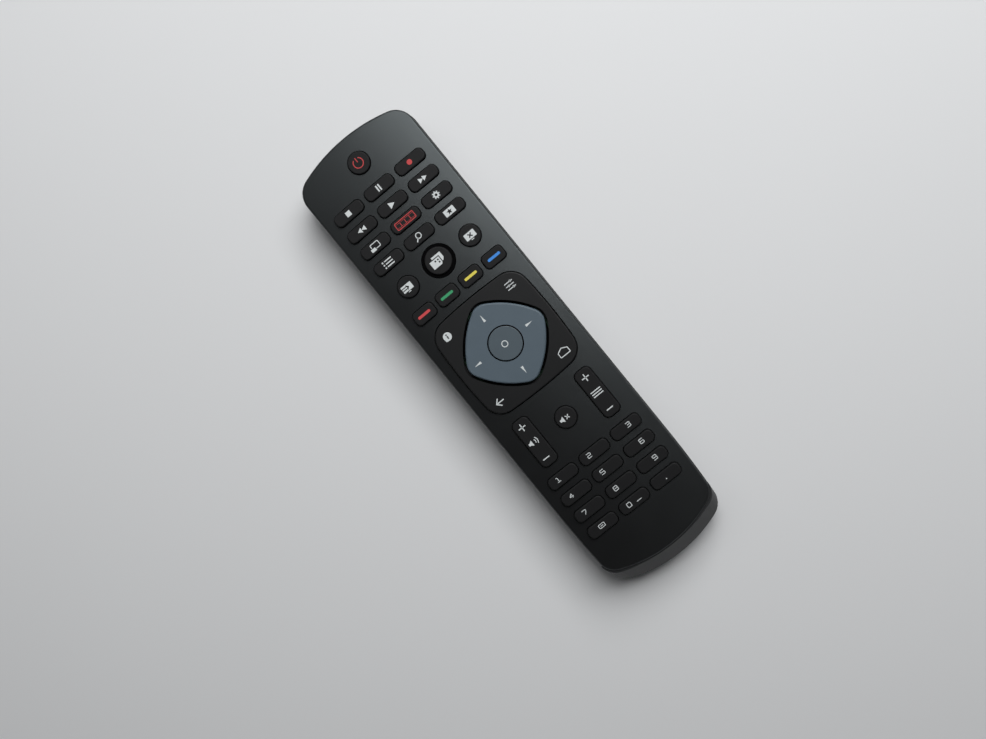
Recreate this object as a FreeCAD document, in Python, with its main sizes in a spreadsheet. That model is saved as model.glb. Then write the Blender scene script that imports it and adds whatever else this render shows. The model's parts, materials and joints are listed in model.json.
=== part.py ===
"""Handheld remote control for a television: casing, keys, circuit board and battery bay.

Millimetres. +Z points up out of the key face, +Y to the end that is aimed at the screen.
The origin is under the middle of the whole length, on the surface that the remote lies on.
"""
import FreeCAD
import Part
import Sketcher
import math
import os

# Driving sizes: name, value, meaning
SIZES = (
    ("overall_length", 203.2, "heel to top end"),
    ("casing_width", 52.9, "side to side, at the rear shell"),
    ("casing_height", 21.0, "table to the highest line of the face"),
    ("shell_flare", 0.35, "rear shell beyond the front shell on each side"),
    ("heel_overhang", 7.4, "rear shell beyond the end of the face"),
    ("top_arc", 73.0, "plan radius of the top end"),
    ("face_arc", 58.0, "plan radius of the lower end of the face"),
    ("heel_arc", 57.0, "plan radius of the heel"),
    ("top_corner", 8.0, "plan corner radius at the top end"),
    ("face_corner", 7.0, "plan corner radius at the lower end of the face"),
    ("heel_corner", 8.0, "plan corner radius of the heel"),
    ("taper_start", 60.0, "where the sides start to draw in, below the origin"),
    ("taper_arc", 430.0, "plan radius of the sides that draw in"),
    ("heel_step", 0.9, "top of the heel below the highest line of the face"),
    ("heel_nose", 10.0, "height of the widest line of the heel"),
    ("heel_lip", 0.4, "top of the heel around the end of the front shell"),
    ("heel_horn", 8.8, "reach of the heel along the sides of the front shell"),
    ("crown_arc", 250.0, "radius of the crowned face across its width"),
    ("face_edge", 0.9, "rounding of the edge of the face"),
    ("wall", 1.8, "wall of the rear shell"),
    ("skirt_wall", 1.6, "wall of the skirt of the front shell"),
    ("parting_height", 13.4, "line where the two shells meet"),
    ("parting_gap", 0.12, "gap between the two shells"),
    ("belly_corner", 9.0, "radius along the lower long edges"),
    ("rise_start", 40.0, "where the underside starts to rise to the top end"),
    ("rise_arc", 310.0, "radius of the rising underside"),
    ("toe_corner", 5.0, "radius under the top end"),
    ("plate_height", 18.2, "underside of the face plate"),
    ("rim_wall", 0.9, "locating rim of the rear shell"),
    ("rim_rise", 1.5, "height of the rim above the parting line"),
    ("rim_root", 3.0, "root of the rim below the parting line"),
    ("rim_root_inset", 1.05, "root of the rim inside the outline of the face"),
    ("rim_gap", 0.1, "gap between rim and skirt"),
    ("board_height", 14.1, "underside of the circuit board"),
    ("board_thickness", 1.2, "circuit board"),
    ("board_inset", 2.9, "edge of the board inside the outline of the face"),
    ("mat_thickness", 1.2, "rubber key mat"),
    ("mat_inset", 2.1, "edge of the mat inside the outline of the face"),
    ("mat_gap", 0.01, "mat above the board"),
    ("pad_thickness", 0.1, "contact pads on the board"),
    ("pad_diameter", 3.2, "contact pads on the board"),
    ("well_gap", 0.6, "mat well around a plunger"),
    ("rib_wall", 1.2, "ribs under the board"),
    ("rib_pitch", 24.0, "spacing of the ribs"),
    ("rib_first", 2.0, "place of the first rib"),
    ("seat_gap", 0.05, "pieces that rest on each other"),
    ("nav_y", 3.5, "centre of the direction keys"),
    ("column_pitch", 15.0, "key columns"),
    ("row_pitch", 7.9, "key rows"),
    ("command_y", 75.05, "top row of the command keys above the direction keys"),
    ("digit_y", 52.6, "top row of the digit keys below the direction keys"),
    ("power_y", 87.07, "power key above the direction keys"),
    ("round_y", 39.83, "large round key above the direction keys"),
    ("side_round_drop", 0.2, "source and exit keys below the large round key"),
    ("side_round_out", 0.1, "source and exit keys outside their columns"),
    ("colour_y", 27.76, "colour keys above the direction keys"),
    ("rocker_y", 35.75, "rockers below the direction keys"),
    ("colour_pitch", 11.22, "colour keys"),
    ("bar_width", 12.8, "command and digit keys"),
    ("bar_depth", 4.9, "command and digit keys"),
    ("bar_corner", 1.9, "command and digit keys"),
    ("colour_width", 9.3, "colour keys"),
    ("colour_depth", 5.7, "colour keys"),
    ("colour_corner", 1.8, "colour keys"),
    ("round_diameter", 8.4, "round keys"),
    ("power_diameter", 8.6, "power key"),
    ("window_diameter", 12.7, "foot of the large round key"),
    ("window_top_diameter", 10.5, "raised middle of the large round key"),
    ("window_foot_rise", 0.3, "foot of the large round key above the face"),
    ("rocker_width", 7.1, "volume and channel rockers"),
    ("rocker_depth", 21.0, "volume and channel rockers"),
    ("rocker_corner", 2.2, "volume and channel rockers"),
    ("rocker_plunger_reach", 8.0, "rocker plungers from its middle"),
    ("key_rise", 1.0, "key tops above the face"),
    ("key_travel", 0.7, "stroke of the keys"),
    ("key_gap", 0.28, "gap around a key in the face"),
    ("key_edge", 0.45, "rounding of the key tops"),
    ("key_lip", 0.6, "flange beyond the key"),
    ("swing_gap", 0.15, "clearance of a tilting key at the end of its tilt"),
    ("lip_thickness", 0.8, "flange that holds a key under the plate"),
    ("plunger_diameter", 2.6, "plungers under the keys"),
    ("rocker_tilt", 2.8, "degrees each way"),
    ("corner_size", 43.2, "square plate with the four corner keys"),
    ("corner_bow", 200.0, "radius of the bowed sides of the corner plate"),
    ("corner_radius", 7.5, "corners of the corner plate"),
    ("corner_rise", 0.35, "corner plate above the face"),
    ("corner_thickness", 1.45, "corner plate"),
    ("corner_skirt", 1.0, "wall under the edge of the corner plate"),
    ("corner_tilt", 1.3, "degrees each way"),
    ("corner_plunger_reach", 16.5, "corner plungers from the middle, both ways"),
    ("corner_gap", 0.35, "gap around the corner plate in the face"),
    ("ring_reach", 15.1, "middle to a side of the direction ring"),
    ("ring_bow", 36.0, "radius of the bowed sides of the direction ring"),
    ("ring_radius", 5.6, "corners of the direction ring"),
    ("ring_rise", 1.2, "direction ring above the face"),
    ("ring_edge", 0.7, "rounding of the direction ring"),
    ("ring_gap", 1.0, "gap around the direction ring in the corner plate"),
    ("ring_flange_diameter", 33.6, "flange of the direction ring under the corner plate"),
    ("ring_flange_drop", 1.5, "flange of the ring below the corner plate"),
    ("ring_plunger_reach", 12.5, "ring plungers from the middle"),
    ("ring_tilt", 2.0, "degrees each way"),
    ("confirm_diameter", 13.3, "round key in the middle of the ring"),
    ("confirm_gap", 0.3, "gap around the middle key"),
    ("confirm_rise", 0.1, "middle key above the ring"),
    ("confirm_lip", 0.85, "flange of the middle key"),
    ("confirm_seat", 0.2, "flange of the middle key above the flange of the ring"),
    ("support_width", 2.0, "rubber ring under the corner plate"),
    ("support_gap", 1.0, "rubber ring under the corner plate from the flange inside it"),
    ("ring_support_width", 2.64, "rubber ring under the direction ring"),
    ("ring_support_gap", 0.4, "rubber ring under the direction ring from the flange inside it"),
    ("support_clearance", 0.5, "height of the nubs that the rubber rings rock on"),
    ("nub_diameter", 1.4, "nubs that the rubber rings rock on"),
    ("bay_length", 49.8, "battery bay along the remote"),
    ("bay_width", 31.6, "battery bay across the remote"),
    ("bay_height", 12.8, "underside of the roof of the battery bay"),
    ("bay_wall", 1.2, "walls and roof of the battery bay"),
    ("bay_end", 94.2, "lower end of the battery bay below the origin"),
    ("cell_diameter", 10.5, "AAA cell"),
    ("cell_length", 44.5, "AAA cell with its button"),
    ("cell_button_diameter", 3.8, "positive button"),
    ("cell_button_length", 1.2, "positive button"),
    ("cell_spacing", 11.2, "cell centres across the remote"),
    ("cell_lift", 0.3, "cells above the battery cover"),
    ("contact_thickness", 0.4, "battery contacts"),
    ("contact_width", 8.0, "battery contacts"),
    ("contact_height", 8.0, "battery contacts"),
    ("contact_tab", 2.0, "width of the tab up to the board"),
    ("tab_gap", 0.15, "tab in its slot"),
    ("spring_wire", 0.6, "battery springs"),
    ("spring_diameter", 6.4, "battery springs at the contact"),
    ("spring_tip_diameter", 4.8, "battery springs at the cell"),
    ("spring_turns", 3.0, "battery springs"),
    ("cover_width", 32.0, "battery cover at the outside"),
    ("cover_thickness", 1.7, "battery cover"),
    ("cover_lower", 0.8, "outer layer of the battery cover below its tongues"),
    ("cover_tongue", 1.2, "tongues that slide in the rails"),
    ("cover_gap", 0.15, "gap around the battery cover"),
    ("cover_reach", 43.0, "upper end of the battery cover below the origin"),
    ("rail_height", 3.4, "rails beside the battery cover"),
    ("rail_wall", 1.4, "rails beside the tongues"),
    ("grip_count", 6.0, "grip grooves on the battery cover"),
    ("grip_pitch", 1.8, "grip grooves on the battery cover"),
    ("grip_margin", 3.6, "grip grooves from the upper end of the battery cover"),
    ("grip_width", 14.0, "grip grooves on the battery cover"),
    ("grip_groove", 0.8, "width of a grip groove"),
    ("grip_depth", 0.35, "depth of a grip groove"),
    ("screw_x", 13.3, "case screws from the middle line"),
    ("screw_y", 84.6, "case screws below the origin"),
    ("screw_diameter", 2.0, "case screws"),
    ("screw_head", 3.8, "case screws"),
    ("screw_head_height", 1.4, "case screws"),
    ("screw_reach", 17.6, "tip of the case screws"),
    ("screw_gap", 0.05, "screw in its boss"),
    ("screw_hole_gap", 0.3, "screw through the bay roof and the board"),
    ("boss_diameter", 4.8, "screw bosses of the front shell"),
    ("window_half_width", 8.0, "infrared window from the middle line"),
    ("window_bottom", 8.8, "infrared window"),
    ("window_top", 15.0, "infrared window"),
    ("window_gap", 0.08, "gap around the infrared window"),
    ("emitter_diameter", 5.0, "infrared emitter"),
    ("emitter_length", 7.6, "infrared emitter"),
    ("emitter_flange", 5.8, "flange of the infrared emitter"),
    ("emitter_flange_length", 1.0, "flange of the infrared emitter"),
    ("emitter_flat", 0.05, "flat left inside the rounding of the emitter's tip"),
    ("emitter_end", 2.6, "tip of the emitter inside the top end"),
    ("emitter_drop", 2.95, "emitter centre below the board"),
    ("lead_width", 0.5, "leads of the emitter"),
    ("lead_reach", 1.0, "leads of the emitter behind its flange"),
    ("lead_spacing", 2.54, "leads of the emitter"),
    ("chip_width", 7.5, "controller chip"),
    ("chip_length", 10.0, "controller chip"),
    ("chip_height", 2.2, "controller chip"),
    ("resonator_width", 8.0, "resonator"),
    ("resonator_depth", 3.0, "resonator"),
    ("resonator_height", 3.5, "resonator"),
    ("capacitor_width", 5.0, "smoothing capacitor"),
    ("capacitor_length", 9.0, "smoothing capacitor"),
    ("capacitor_height", 5.0, "smoothing capacitor"),
    ("chip_row", 14.0, "row of the chip, resonator and capacitor above the origin"),
    ("chip_row_pitch", 14.0, "chip, resonator and capacitor across the remote"),
    ("transistor_width", 3.0, "driver transistor"),
    ("transistor_depth", 1.6, "driver transistor"),
    ("transistor_height", 1.1, "driver transistor"),
    ("transistor_x", 10.0, "driver transistor from the middle line"),
    ("transistor_y", 84.0, "driver transistor above the origin"),
    ("resistor_width", 1.6, "chip resistors"),
    ("resistor_length", 3.2, "chip resistors"),
    ("resistor_height", 0.6, "chip resistors"),
    ("resistor_row", 40.0, "chip resistors above the origin"),
    ("resistor_pitch", 6.0, "chip resistors"),
)

doc = FreeCAD.newDocument("RemoteControl")
sheet = doc.addObject("Spreadsheet::Sheet", "Sizes")
for row, (alias, number, meaning) in enumerate(SIZES, start=1):
    sheet.set(f"A{row}", meaning)
    sheet.set(f"B{row}", str(number))
    sheet.setAlias(f"B{row}", alias)
doc.recompute()

V = FreeCAD.Vector
UP = V(0, 0, 1)
# How far a cutting tool runs on past what it cuts
BEYOND = 5.0


class Size:
    """A length as the sheet's formula together with the number it gives now."""

    def __init__(self, formula, number):
        self.formula = formula
        self.number = float(number)

    def __add__(self, other):
        other = as_size(other)
        return Size(f"({self.formula} + {other.formula})", self.number + other.number)

    def __radd__(self, other):
        return as_size(other) + self

    def __sub__(self, other):
        other = as_size(other)
        return Size(f"({self.formula} - {other.formula})", self.number - other.number)

    def __rsub__(self, other):
        return as_size(other) - self

    def __mul__(self, other):
        other = as_size(other)
        return Size(f"({self.formula} * {other.formula})", self.number * other.number)

    def __rmul__(self, other):
        return as_size(other) * self

    def __truediv__(self, other):
        other = as_size(other)
        return Size(f"({self.formula} / {other.formula})", self.number / other.number)

    def __neg__(self):
        return Size(f"(-{self.formula})", -self.number)

    def root(self):
        return Size(f"sqrt({self.formula})", math.sqrt(self.number))


def as_size(number):
    if isinstance(number, Size):
        return number
    return Size(f"({float(number)})", number)


def s(alias):
    """The named size, read from the sheet."""
    return Size(f"Sizes.{alias}", getattr(sheet, alias))


def bind(thing, path, size):
    thing.setExpression(path, as_size(size).formula)


# Sketches and features

def new_body(name):
    body = doc.addObject("PartDesign::Body", name)
    body.Label = name
    return body


def place(thing, x=0, y=0, z=0):
    bind(thing, "Placement.Base.x", x)
    bind(thing, "Placement.Base.y", y)
    bind(thing, "Placement.Base.z", z)


def new_sketch(body, role="XY_Plane", offset=0, turn=0):
    """A sketch on an origin plane of the body, moved along the normal and turned in its plane."""
    planes = [plane for plane in body.Origin.OriginFeatures if plane.Role == role]
    sketch = body.newObject("Sketcher::SketchObject", body.Name + "_sketch")
    sketch.AttachmentSupport = [(planes[0], "")]
    sketch.MapMode = "FlatFace"
    sketch.AttachmentOffset = FreeCAD.Placement(V(0, 0, 0), FreeCAD.Rotation(UP, turn))
    bind(sketch, "AttachmentOffset.Base.z", offset)
    return sketch


def dimension(sketch, kind, *points_and_size):
    """A dimension whose value is bound to the sheet."""
    points = points_and_size[:-1]
    size = as_size(points_and_size[-1])
    index = sketch.addConstraint(Sketcher.Constraint(kind, *points, size.number))
    name = f"size_{index}"
    sketch.renameConstraint(index, name)
    bind(sketch, f"Constraints.{name}", size)


def relate(sketch, kind, *points):
    sketch.addConstraint(Sketcher.Constraint(kind, *points))


def arc(x, y, radius, start, end):
    """Arc about (x, y) from angle start to angle end, both in radians."""
    return Part.ArcOfCircle(Part.Circle(V(x, y, 0), UP, radius), start, end)


def chain(sketch, pieces, first):
    """Joins the closed row of pieces end to end and tangent."""
    count = len(pieces)
    for i in range(count):
        relate(sketch, "Tangent", first + i, 2, first + (i + 1) % count, 1)


def rounded_rectangle(sketch, x, y, width, depth, radius):
    """Rectangle with four corner arcs, its centre at (x, y)."""
    left, right = as_size(x) - width / 2, as_size(x) + width / 2
    low, high = as_size(y) - depth / 2, as_size(y) + depth / 2
    x0, x1, y0, y1, r = left.number, right.number, low.number, high.number, radius.number
    q = math.pi / 2
    pieces = [
        Part.LineSegment(V(x0 + r, y0, 0), V(x1 - r, y0, 0)),
        arc(x1 - r, y0 + r, r, -q, 0),
        Part.LineSegment(V(x1, y0 + r, 0), V(x1, y1 - r, 0)),
        arc(x1 - r, y1 - r, r, 0, q),
        Part.LineSegment(V(x1 - r, y1, 0), V(x0 + r, y1, 0)),
        arc(x0 + r, y1 - r, r, q, 2 * q),
        Part.LineSegment(V(x0, y1 - r, 0), V(x0, y0 + r, 0)),
        arc(x0 + r, y0 + r, r, 2 * q, 3 * q),
    ]
    n = sketch.GeometryCount
    sketch.addGeometry(pieces, False)
    chain(sketch, pieces, n)
    for line in (0, 4):
        relate(sketch, "Horizontal", n + line)
        relate(sketch, "Vertical", n + line + 2)
    for corner in (3, 5, 7):
        relate(sketch, "Equal", n + 1, n + corner)
    dimension(sketch, "Radius", n + 1, radius)
    dimension(sketch, "DistanceX", -1, 1, n + 6, 1, left)
    dimension(sketch, "DistanceX", -1, 1, n + 2, 1, right)
    dimension(sketch, "DistanceY", -1, 1, n + 0, 1, low)
    dimension(sketch, "DistanceY", -1, 1, n + 4, 1, high)


def rectangle(sketch, left, right, low, high):
    """Plain rectangle between four signed distances from the origin."""
    left, right, low, high = (as_size(edge) for edge in (left, right, low, high))
    corners = [
        V(left.number, low.number, 0),
        V(right.number, low.number, 0),
        V(right.number, high.number, 0),
        V(left.number, high.number, 0),
    ]
    n = sketch.GeometryCount
    sketch.addGeometry([Part.LineSegment(corners[i], corners[(i + 1) % 4]) for i in range(4)], False)
    for i in range(4):
        relate(sketch, "Coincident", n + i, 2, n + (i + 1) % 4, 1)
    for line in (0, 2):
        relate(sketch, "Horizontal", n + line)
        relate(sketch, "Vertical", n + line + 1)
    dimension(sketch, "DistanceX", -1, 1, n + 3, 1, left)
    dimension(sketch, "DistanceX", -1, 1, n + 1, 1, right)
    dimension(sketch, "DistanceY", -1, 1, n + 0, 1, low)
    dimension(sketch, "DistanceY", -1, 1, n + 2, 1, high)


def circle(sketch, x, y, radius):
    x, y = as_size(x), as_size(y)
    n = sketch.GeometryCount
    sketch.addGeometry(Part.Circle(V(x.number, y.number, 0), UP, radius.number), False)
    dimension(sketch, "Radius", n, radius)
    for kind, axis, size in (("DistanceX", -2, x), ("DistanceY", -1, y)):
        if abs(size.number) < 1e-9:
            relate(sketch, "PointOnObject", n, 3, axis)
        else:
            dimension(sketch, kind, -1, 1, n, 3, size)


def bowed_square(sketch, reach, bow, radius):
    """Square with outward bowed sides and round corners, centred on the origin."""
    a, big, r = reach.number, bow.number, radius.number
    d = big - a
    k = (math.sqrt(2 * (big - r) ** 2 - d * d) - d) / 2
    half = math.atan2(k, k + d)
    q = math.pi / 2
    pieces = []
    for side in range(4):
        turn = side * q
        pieces.append(arc(-d * math.cos(turn), -d * math.sin(turn), big, turn - half, turn + half))
        corner = turn + q / 2
        at = k * math.sqrt(2)
        pieces.append(
            arc(at * math.cos(corner), at * math.sin(corner), r, turn + half, turn + q - half)
        )
    n = sketch.GeometryCount
    sketch.addGeometry(pieces, False)
    chain(sketch, pieces, n)
    for side in (2, 4, 6):
        relate(sketch, "Equal", n, n + side)
        relate(sketch, "Equal", n + 1, n + side + 1)
    dimension(sketch, "Radius", n, bow)
    dimension(sketch, "Radius", n + 1, radius)
    for side, kind, axis, sign in (
        (0, "DistanceX", -1, 1),
        (2, "DistanceY", -2, 1),
        (4, "DistanceX", -1, -1),
        (6, "DistanceY", -2, -1),
    ):
        relate(sketch, "PointOnObject", n + side, 3, axis)
        dimension(sketch, kind, -1, 1, n + side, 3, sign * (reach - bow))


def lower_crossing(x1, y1, r1, x2, y2, r2):
    """The lower of the two points where two circles cross."""
    apart = math.hypot(x2 - x1, y2 - y1)
    along = (r1 * r1 - r2 * r2 + apart * apart) / (2 * apart)
    aside = math.sqrt(r1 * r1 - along * along)
    across, up = (x2 - x1) / apart, (y2 - y1) / apart
    return x1 + along * across + aside * up, y1 + along * up - aside * across


def ended_outline(sketch, half, taper, top, top_bow, top_radius, low, low_bow, low_radius):
    """Long plan outline: an arc at each end and a small arc at each corner.

    The sides are straight down to the start of the taper and draw in along its arc from there.
    """
    q = math.pi / 2
    x, big_side, start = half.number, taper.number, -s("taper_start").number
    tb, tr, lb, lr = (size.number for size in (top_bow, top_radius, low_bow, low_radius))
    tc, lc = top.number - tb, low.number + lb
    reach = math.sqrt((tb - tr) ** 2 - (x - tr) ** 2)
    ty, ta = tc + reach, math.atan2(reach, x - tr)
    cx, cy = lower_crossing(x - big_side, start, big_side - lr, 0, lc, lb - lr)
    sa = math.atan2(start - cy, cx - x + big_side)
    la = math.atan2(lc - cy, cx)
    pieces = [
        Part.LineSegment(V(x, start, 0), V(x, ty, 0)),
        arc(x - tr, ty, tr, 0, ta),
        arc(0, tc, tb, ta, 2 * q - ta),
        arc(tr - x, ty, tr, 2 * q - ta, 2 * q),
        Part.LineSegment(V(-x, ty, 0), V(-x, start, 0)),
        arc(big_side - x, start, big_side, 2 * q, 2 * q + sa),
        arc(-cx, cy, lr, 2 * q + sa, 2 * q + la),
        arc(0, lc, lb, 2 * q + la, 4 * q - la),
        arc(cx, cy, lr, 4 * q - la, 4 * q - sa),
        arc(x - big_side, start, big_side, 4 * q - sa, 4 * q),
    ]
    n = sketch.GeometryCount
    sketch.addGeometry(pieces, False)
    chain(sketch, pieces, n)
    relate(sketch, "Vertical", n)
    relate(sketch, "Vertical", n + 4)
    for first, second in ((1, 3), (5, 9), (6, 8)):
        relate(sketch, "Equal", n + first, n + second)
    dimension(sketch, "DistanceX", -1, 1, n, 1, half)
    dimension(sketch, "DistanceX", -1, 1, n + 4, 1, -half)
    dimension(sketch, "DistanceY", -1, 1, n, 1, -s("taper_start"))
    dimension(sketch, "DistanceY", -1, 1, n + 4, 2, -s("taper_start"))
    for piece, size in ((1, top_radius), (2, top_bow), (5, taper), (6, low_radius), (7, low_bow)):
        dimension(sketch, "Radius", n + piece, size)
    for piece, size in ((2, top - top_bow), (7, low + low_bow)):
        relate(sketch, "PointOnObject", n + piece, 3, -2)
        dimension(sketch, "DistanceY", -1, 1, n + piece, 3, size)


def pad(body, sketch, length, both_ways=False):
    feature = body.newObject("PartDesign::Pad", body.Name + "_pad")
    feature.Profile = sketch
    bind(feature, "Length", length)
    if both_ways:
        feature.SideType = "Symmetric"
    return feature


def pocket(body, sketch, length=None, upward=True, both_ways=False):
    """Cuts the sketch out of the body, right through where no length is given."""
    feature = body.newObject("PartDesign::Pocket", body.Name + "_pocket")
    feature.Profile = sketch
    if length is None:
        feature.Type = "ThroughAll"
    else:
        bind(feature, "Length", length)
    if both_ways:
        feature.SideType = "Symmetric"
    feature.Reversed = upward
    return feature


def slab(body, draw, bottom, top, turn=0):
    """Pads the drawn outline from height bottom to height top."""
    sketch = new_sketch(body, offset=bottom, turn=turn)
    draw(sketch)
    return pad(body, sketch, as_size(top) - bottom)


def cut_slab(body, draw, bottom, top=None, turn=0):
    """Cuts the drawn outline from height bottom up to height top, or right through."""
    sketch = new_sketch(body, offset=bottom, turn=turn)
    draw(sketch)
    length = None if top is None else as_size(top) - bottom
    return pocket(body, sketch, length), sketch


def repeat(body, feature, sketch, across, columns, along=None, rows=1):
    """Repeats the feature in columns and rows of its sketch's axes."""
    pattern = body.newObject("PartDesign::LinearPattern", body.Name + "_pattern")
    pattern.Originals = [feature]
    pattern.Direction = (sketch, ["H_Axis"])
    bind(pattern, "Length", across * (columns - 1))
    pattern.Occurrences = columns
    if rows > 1:
        pattern.Direction2 = (sketch, ["V_Axis"])
        bind(pattern, "Length2", along * (rows - 1))
        pattern.Occurrences2 = rows
    body.Tip = pattern
    return pattern


def round_edges(body, feature, radius, chosen):
    """Rounds the edges of the feature for which chosen(edge) is true."""
    doc.recompute()
    names = [f"Edge{i}" for i, edge in enumerate(feature.Shape.Edges, start=1) if chosen(edge)]
    fillet = body.newObject("PartDesign::Fillet", body.Name + "_fillet")
    fillet.Base = (feature, names)
    bind(fillet, "Radius", radius)
    return fillet


def at_height(height):
    """True for an edge that lies at this height all along."""
    z = as_size(height).number
    return lambda edge: max(abs(edge.BoundBox.ZMin - z), abs(edge.BoundBox.ZMax - z)) < 1e-4


def box(name, left, right, near, far, bottom, top):
    """Part box between two limits in x, y and z."""
    left, right, near, far, bottom, top = (
        as_size(limit) for limit in (left, right, near, far, bottom, top)
    )
    solid = doc.addObject("Part::Box", name)
    bind(solid, "Length", right - left)
    bind(solid, "Width", far - near)
    bind(solid, "Height", top - bottom)
    place(solid, left, near, bottom)
    return solid


def cylinder(name, radius, x, y, bottom, top):
    solid = doc.addObject("Part::Cylinder", name)
    bind(solid, "Radius", radius)
    bind(solid, "Height", as_size(top) - bottom)
    place(solid, x, y, bottom)
    return solid


def joining(kind, name):
    """A feature that joins or cuts solids; it leaves the faces as they come, because merging
    them fails on the ruled slope of the heel."""
    solid = doc.addObject(kind, name)
    solid.Refine = False
    return solid


def cut(name, base, tool):
    solid = joining("Part::Cut", name)
    solid.Base = base
    solid.Tool = tool
    return solid


def common(name, *solids):
    solid = joining("Part::MultiCommon", name)
    solid.Shapes = list(solids)
    return solid


def fuse(name, *solids):
    solid = joining("Part::MultiFuse", name)
    solid.Shapes = list(solids)
    return solid


def group(name, solids):
    """Alike solids kept together as one node."""
    compound = doc.addObject("Part::Compound", name)
    compound.Links = list(solids)
    return compound


# Levels and outlines that several pieces share

shell_half = s("casing_width") / 2
half_width = shell_half - s("shell_flare")
top_end = s("overall_length") / 2
heel_end = -top_end
face_end = heel_end + s("heel_overhang")
face_height = s("casing_height")
heel_height = face_height - s("heel_step")
plate_height = s("plate_height")
parting = s("parting_height")
parting_foot = parting - s("parting_gap")
board_top = s("board_height") + s("board_thickness")
pad_top = board_top + s("pad_thickness")
mat_top = board_top + s("mat_thickness")
nav_y = s("nav_y")
column = s("column_pitch")
key_flange_top = plate_height - s("seat_gap")
key_flange_bottom = key_flange_top - s("lip_thickness")


def face_outline(inset=0):
    """Plan outline of the front shell, drawn in by the inset."""
    def draw(sketch):
        ended_outline(
            sketch, half_width - inset, s("taper_arc") - inset,
            top_end - inset, s("top_arc") - inset, s("top_corner") - inset,
            face_end + inset, s("face_arc") - inset, s("face_corner") - inset,
        )
    return draw


def bar(width, depth, corner, x=0, y=0):
    """Outline of an oblong key; the drawing takes how far it is grown."""
    def grown(grow=0):
        def draw(sketch):
            rounded_rectangle(sketch, x, y, width + 2 * grow, depth + 2 * grow, corner + grow)
        return draw
    return grown


def disc(diameter, x=0, y=0):
    """Outline of a round key; the drawing takes how far it is grown."""
    def grown(grow=0):
        def draw(sketch):
            circle(sketch, x, y, diameter / 2 + grow)
        return draw
    return grown


def bowed(reach, bow, radius):
    """Outline of a bowed square; the drawing takes how far it is grown."""
    def grown(grow=0):
        def draw(sketch):
            bowed_square(sketch, reach + grow, bow + grow, radius + grow)
        return draw
    return grown


def crown_drop(x):
    """How far the crowned face lies below its middle line at distance x."""
    x = as_size(x)
    return s("crown_arc") - (s("crown_arc") * s("crown_arc") - x * x).root()


command_bar = bar(s("bar_width"), s("bar_depth"), s("bar_corner"))
colour_bar = bar(s("colour_width"), s("colour_depth"), s("colour_corner"))
rocker_bar = bar(s("rocker_width"), s("rocker_depth"), s("rocker_corner"))
corner_square = bowed(s("corner_size") / 2, s("corner_bow"), s("corner_radius"))
ring_square = bowed(s("ring_reach"), s("ring_bow"), s("ring_radius"))
RING_TURN = 45

command_top = nav_y + s("command_y")
digit_top = nav_y - s("digit_y")
COMMAND_KEYS = (
    ("stop_key", "pause_key", "record_key"),
    ("rewind_key", "play_key", "forward_key"),
    ("picture_key", "film_key", "settings_key"),
    ("guide_key", "search_key", "menu_key"),
)
DIGIT_KEYS = (
    ("digit_1_key", "digit_2_key", "digit_3_key"),
    ("digit_4_key", "digit_5_key", "digit_6_key"),
    ("digit_7_key", "digit_8_key", "digit_9_key"),
    ("subtitle_key", "digit_0_key", "text_key"),
)
COLOUR_KEYS = ("red_key", "green_key", "yellow_key", "blue_key")
round_row = nav_y + s("round_y")
side_round_row = round_row - s("side_round_drop")
side_round_x = column + s("side_round_out")
colour_row = nav_y + s("colour_y")
colour_half_row = s("colour_pitch") * (len(COLOUR_KEYS) - 1) / 2
rocker_row = nav_y - s("rocker_y")
power_row = nav_y + s("power_y")

# Keys that are pushed straight in: name, outline, place across, place along
push_keys = [("power_key", disc(s("power_diameter")), as_size(0), power_row)]
for first_row, names in ((command_top, COMMAND_KEYS), (digit_top, DIGIT_KEYS)):
    for row, row_names in enumerate(names):
        for place_in_row, name in enumerate(row_names):
            push_keys.append(
                (name, command_bar, (place_in_row - 1) * column, first_row - row * s("row_pitch"))
            )
for name, side in (("source_key", -1), ("exit_key", 1)):
    push_keys.append((name, disc(s("round_diameter")), side * side_round_x, side_round_row))
for place_in_row, name in enumerate(COLOUR_KEYS):
    push_keys.append(
        (name, colour_bar, place_in_row * s("colour_pitch") - colour_half_row, colour_row)
    )
push_keys.append(("mute_key", disc(s("round_diameter")), as_size(0), rocker_row))


def key_blocks():
    """The two blocks of oblong keys: their names and the place of their lowest row."""
    return [
        (names, first_row - (len(names) - 1) * s("row_pitch"))
        for names, first_row in ((COMMAND_KEYS, command_top), (DIGIT_KEYS, digit_top))
    ]


# Rear shell, battery cover and infrared window

def hull_outline(inset, low, low_bow, low_radius):
    """Plan outline of the rear shell, drawn in by the inset, with the lower end that is given."""
    def draw(sketch):
        ended_outline(
            sketch, shell_half - inset, s("taper_arc") + s("shell_flare") - inset,
            top_end - inset, s("top_arc") - inset, s("top_corner") - inset,
            low + inset, low_bow - inset, low_radius - inset,
        )
    return draw


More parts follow.
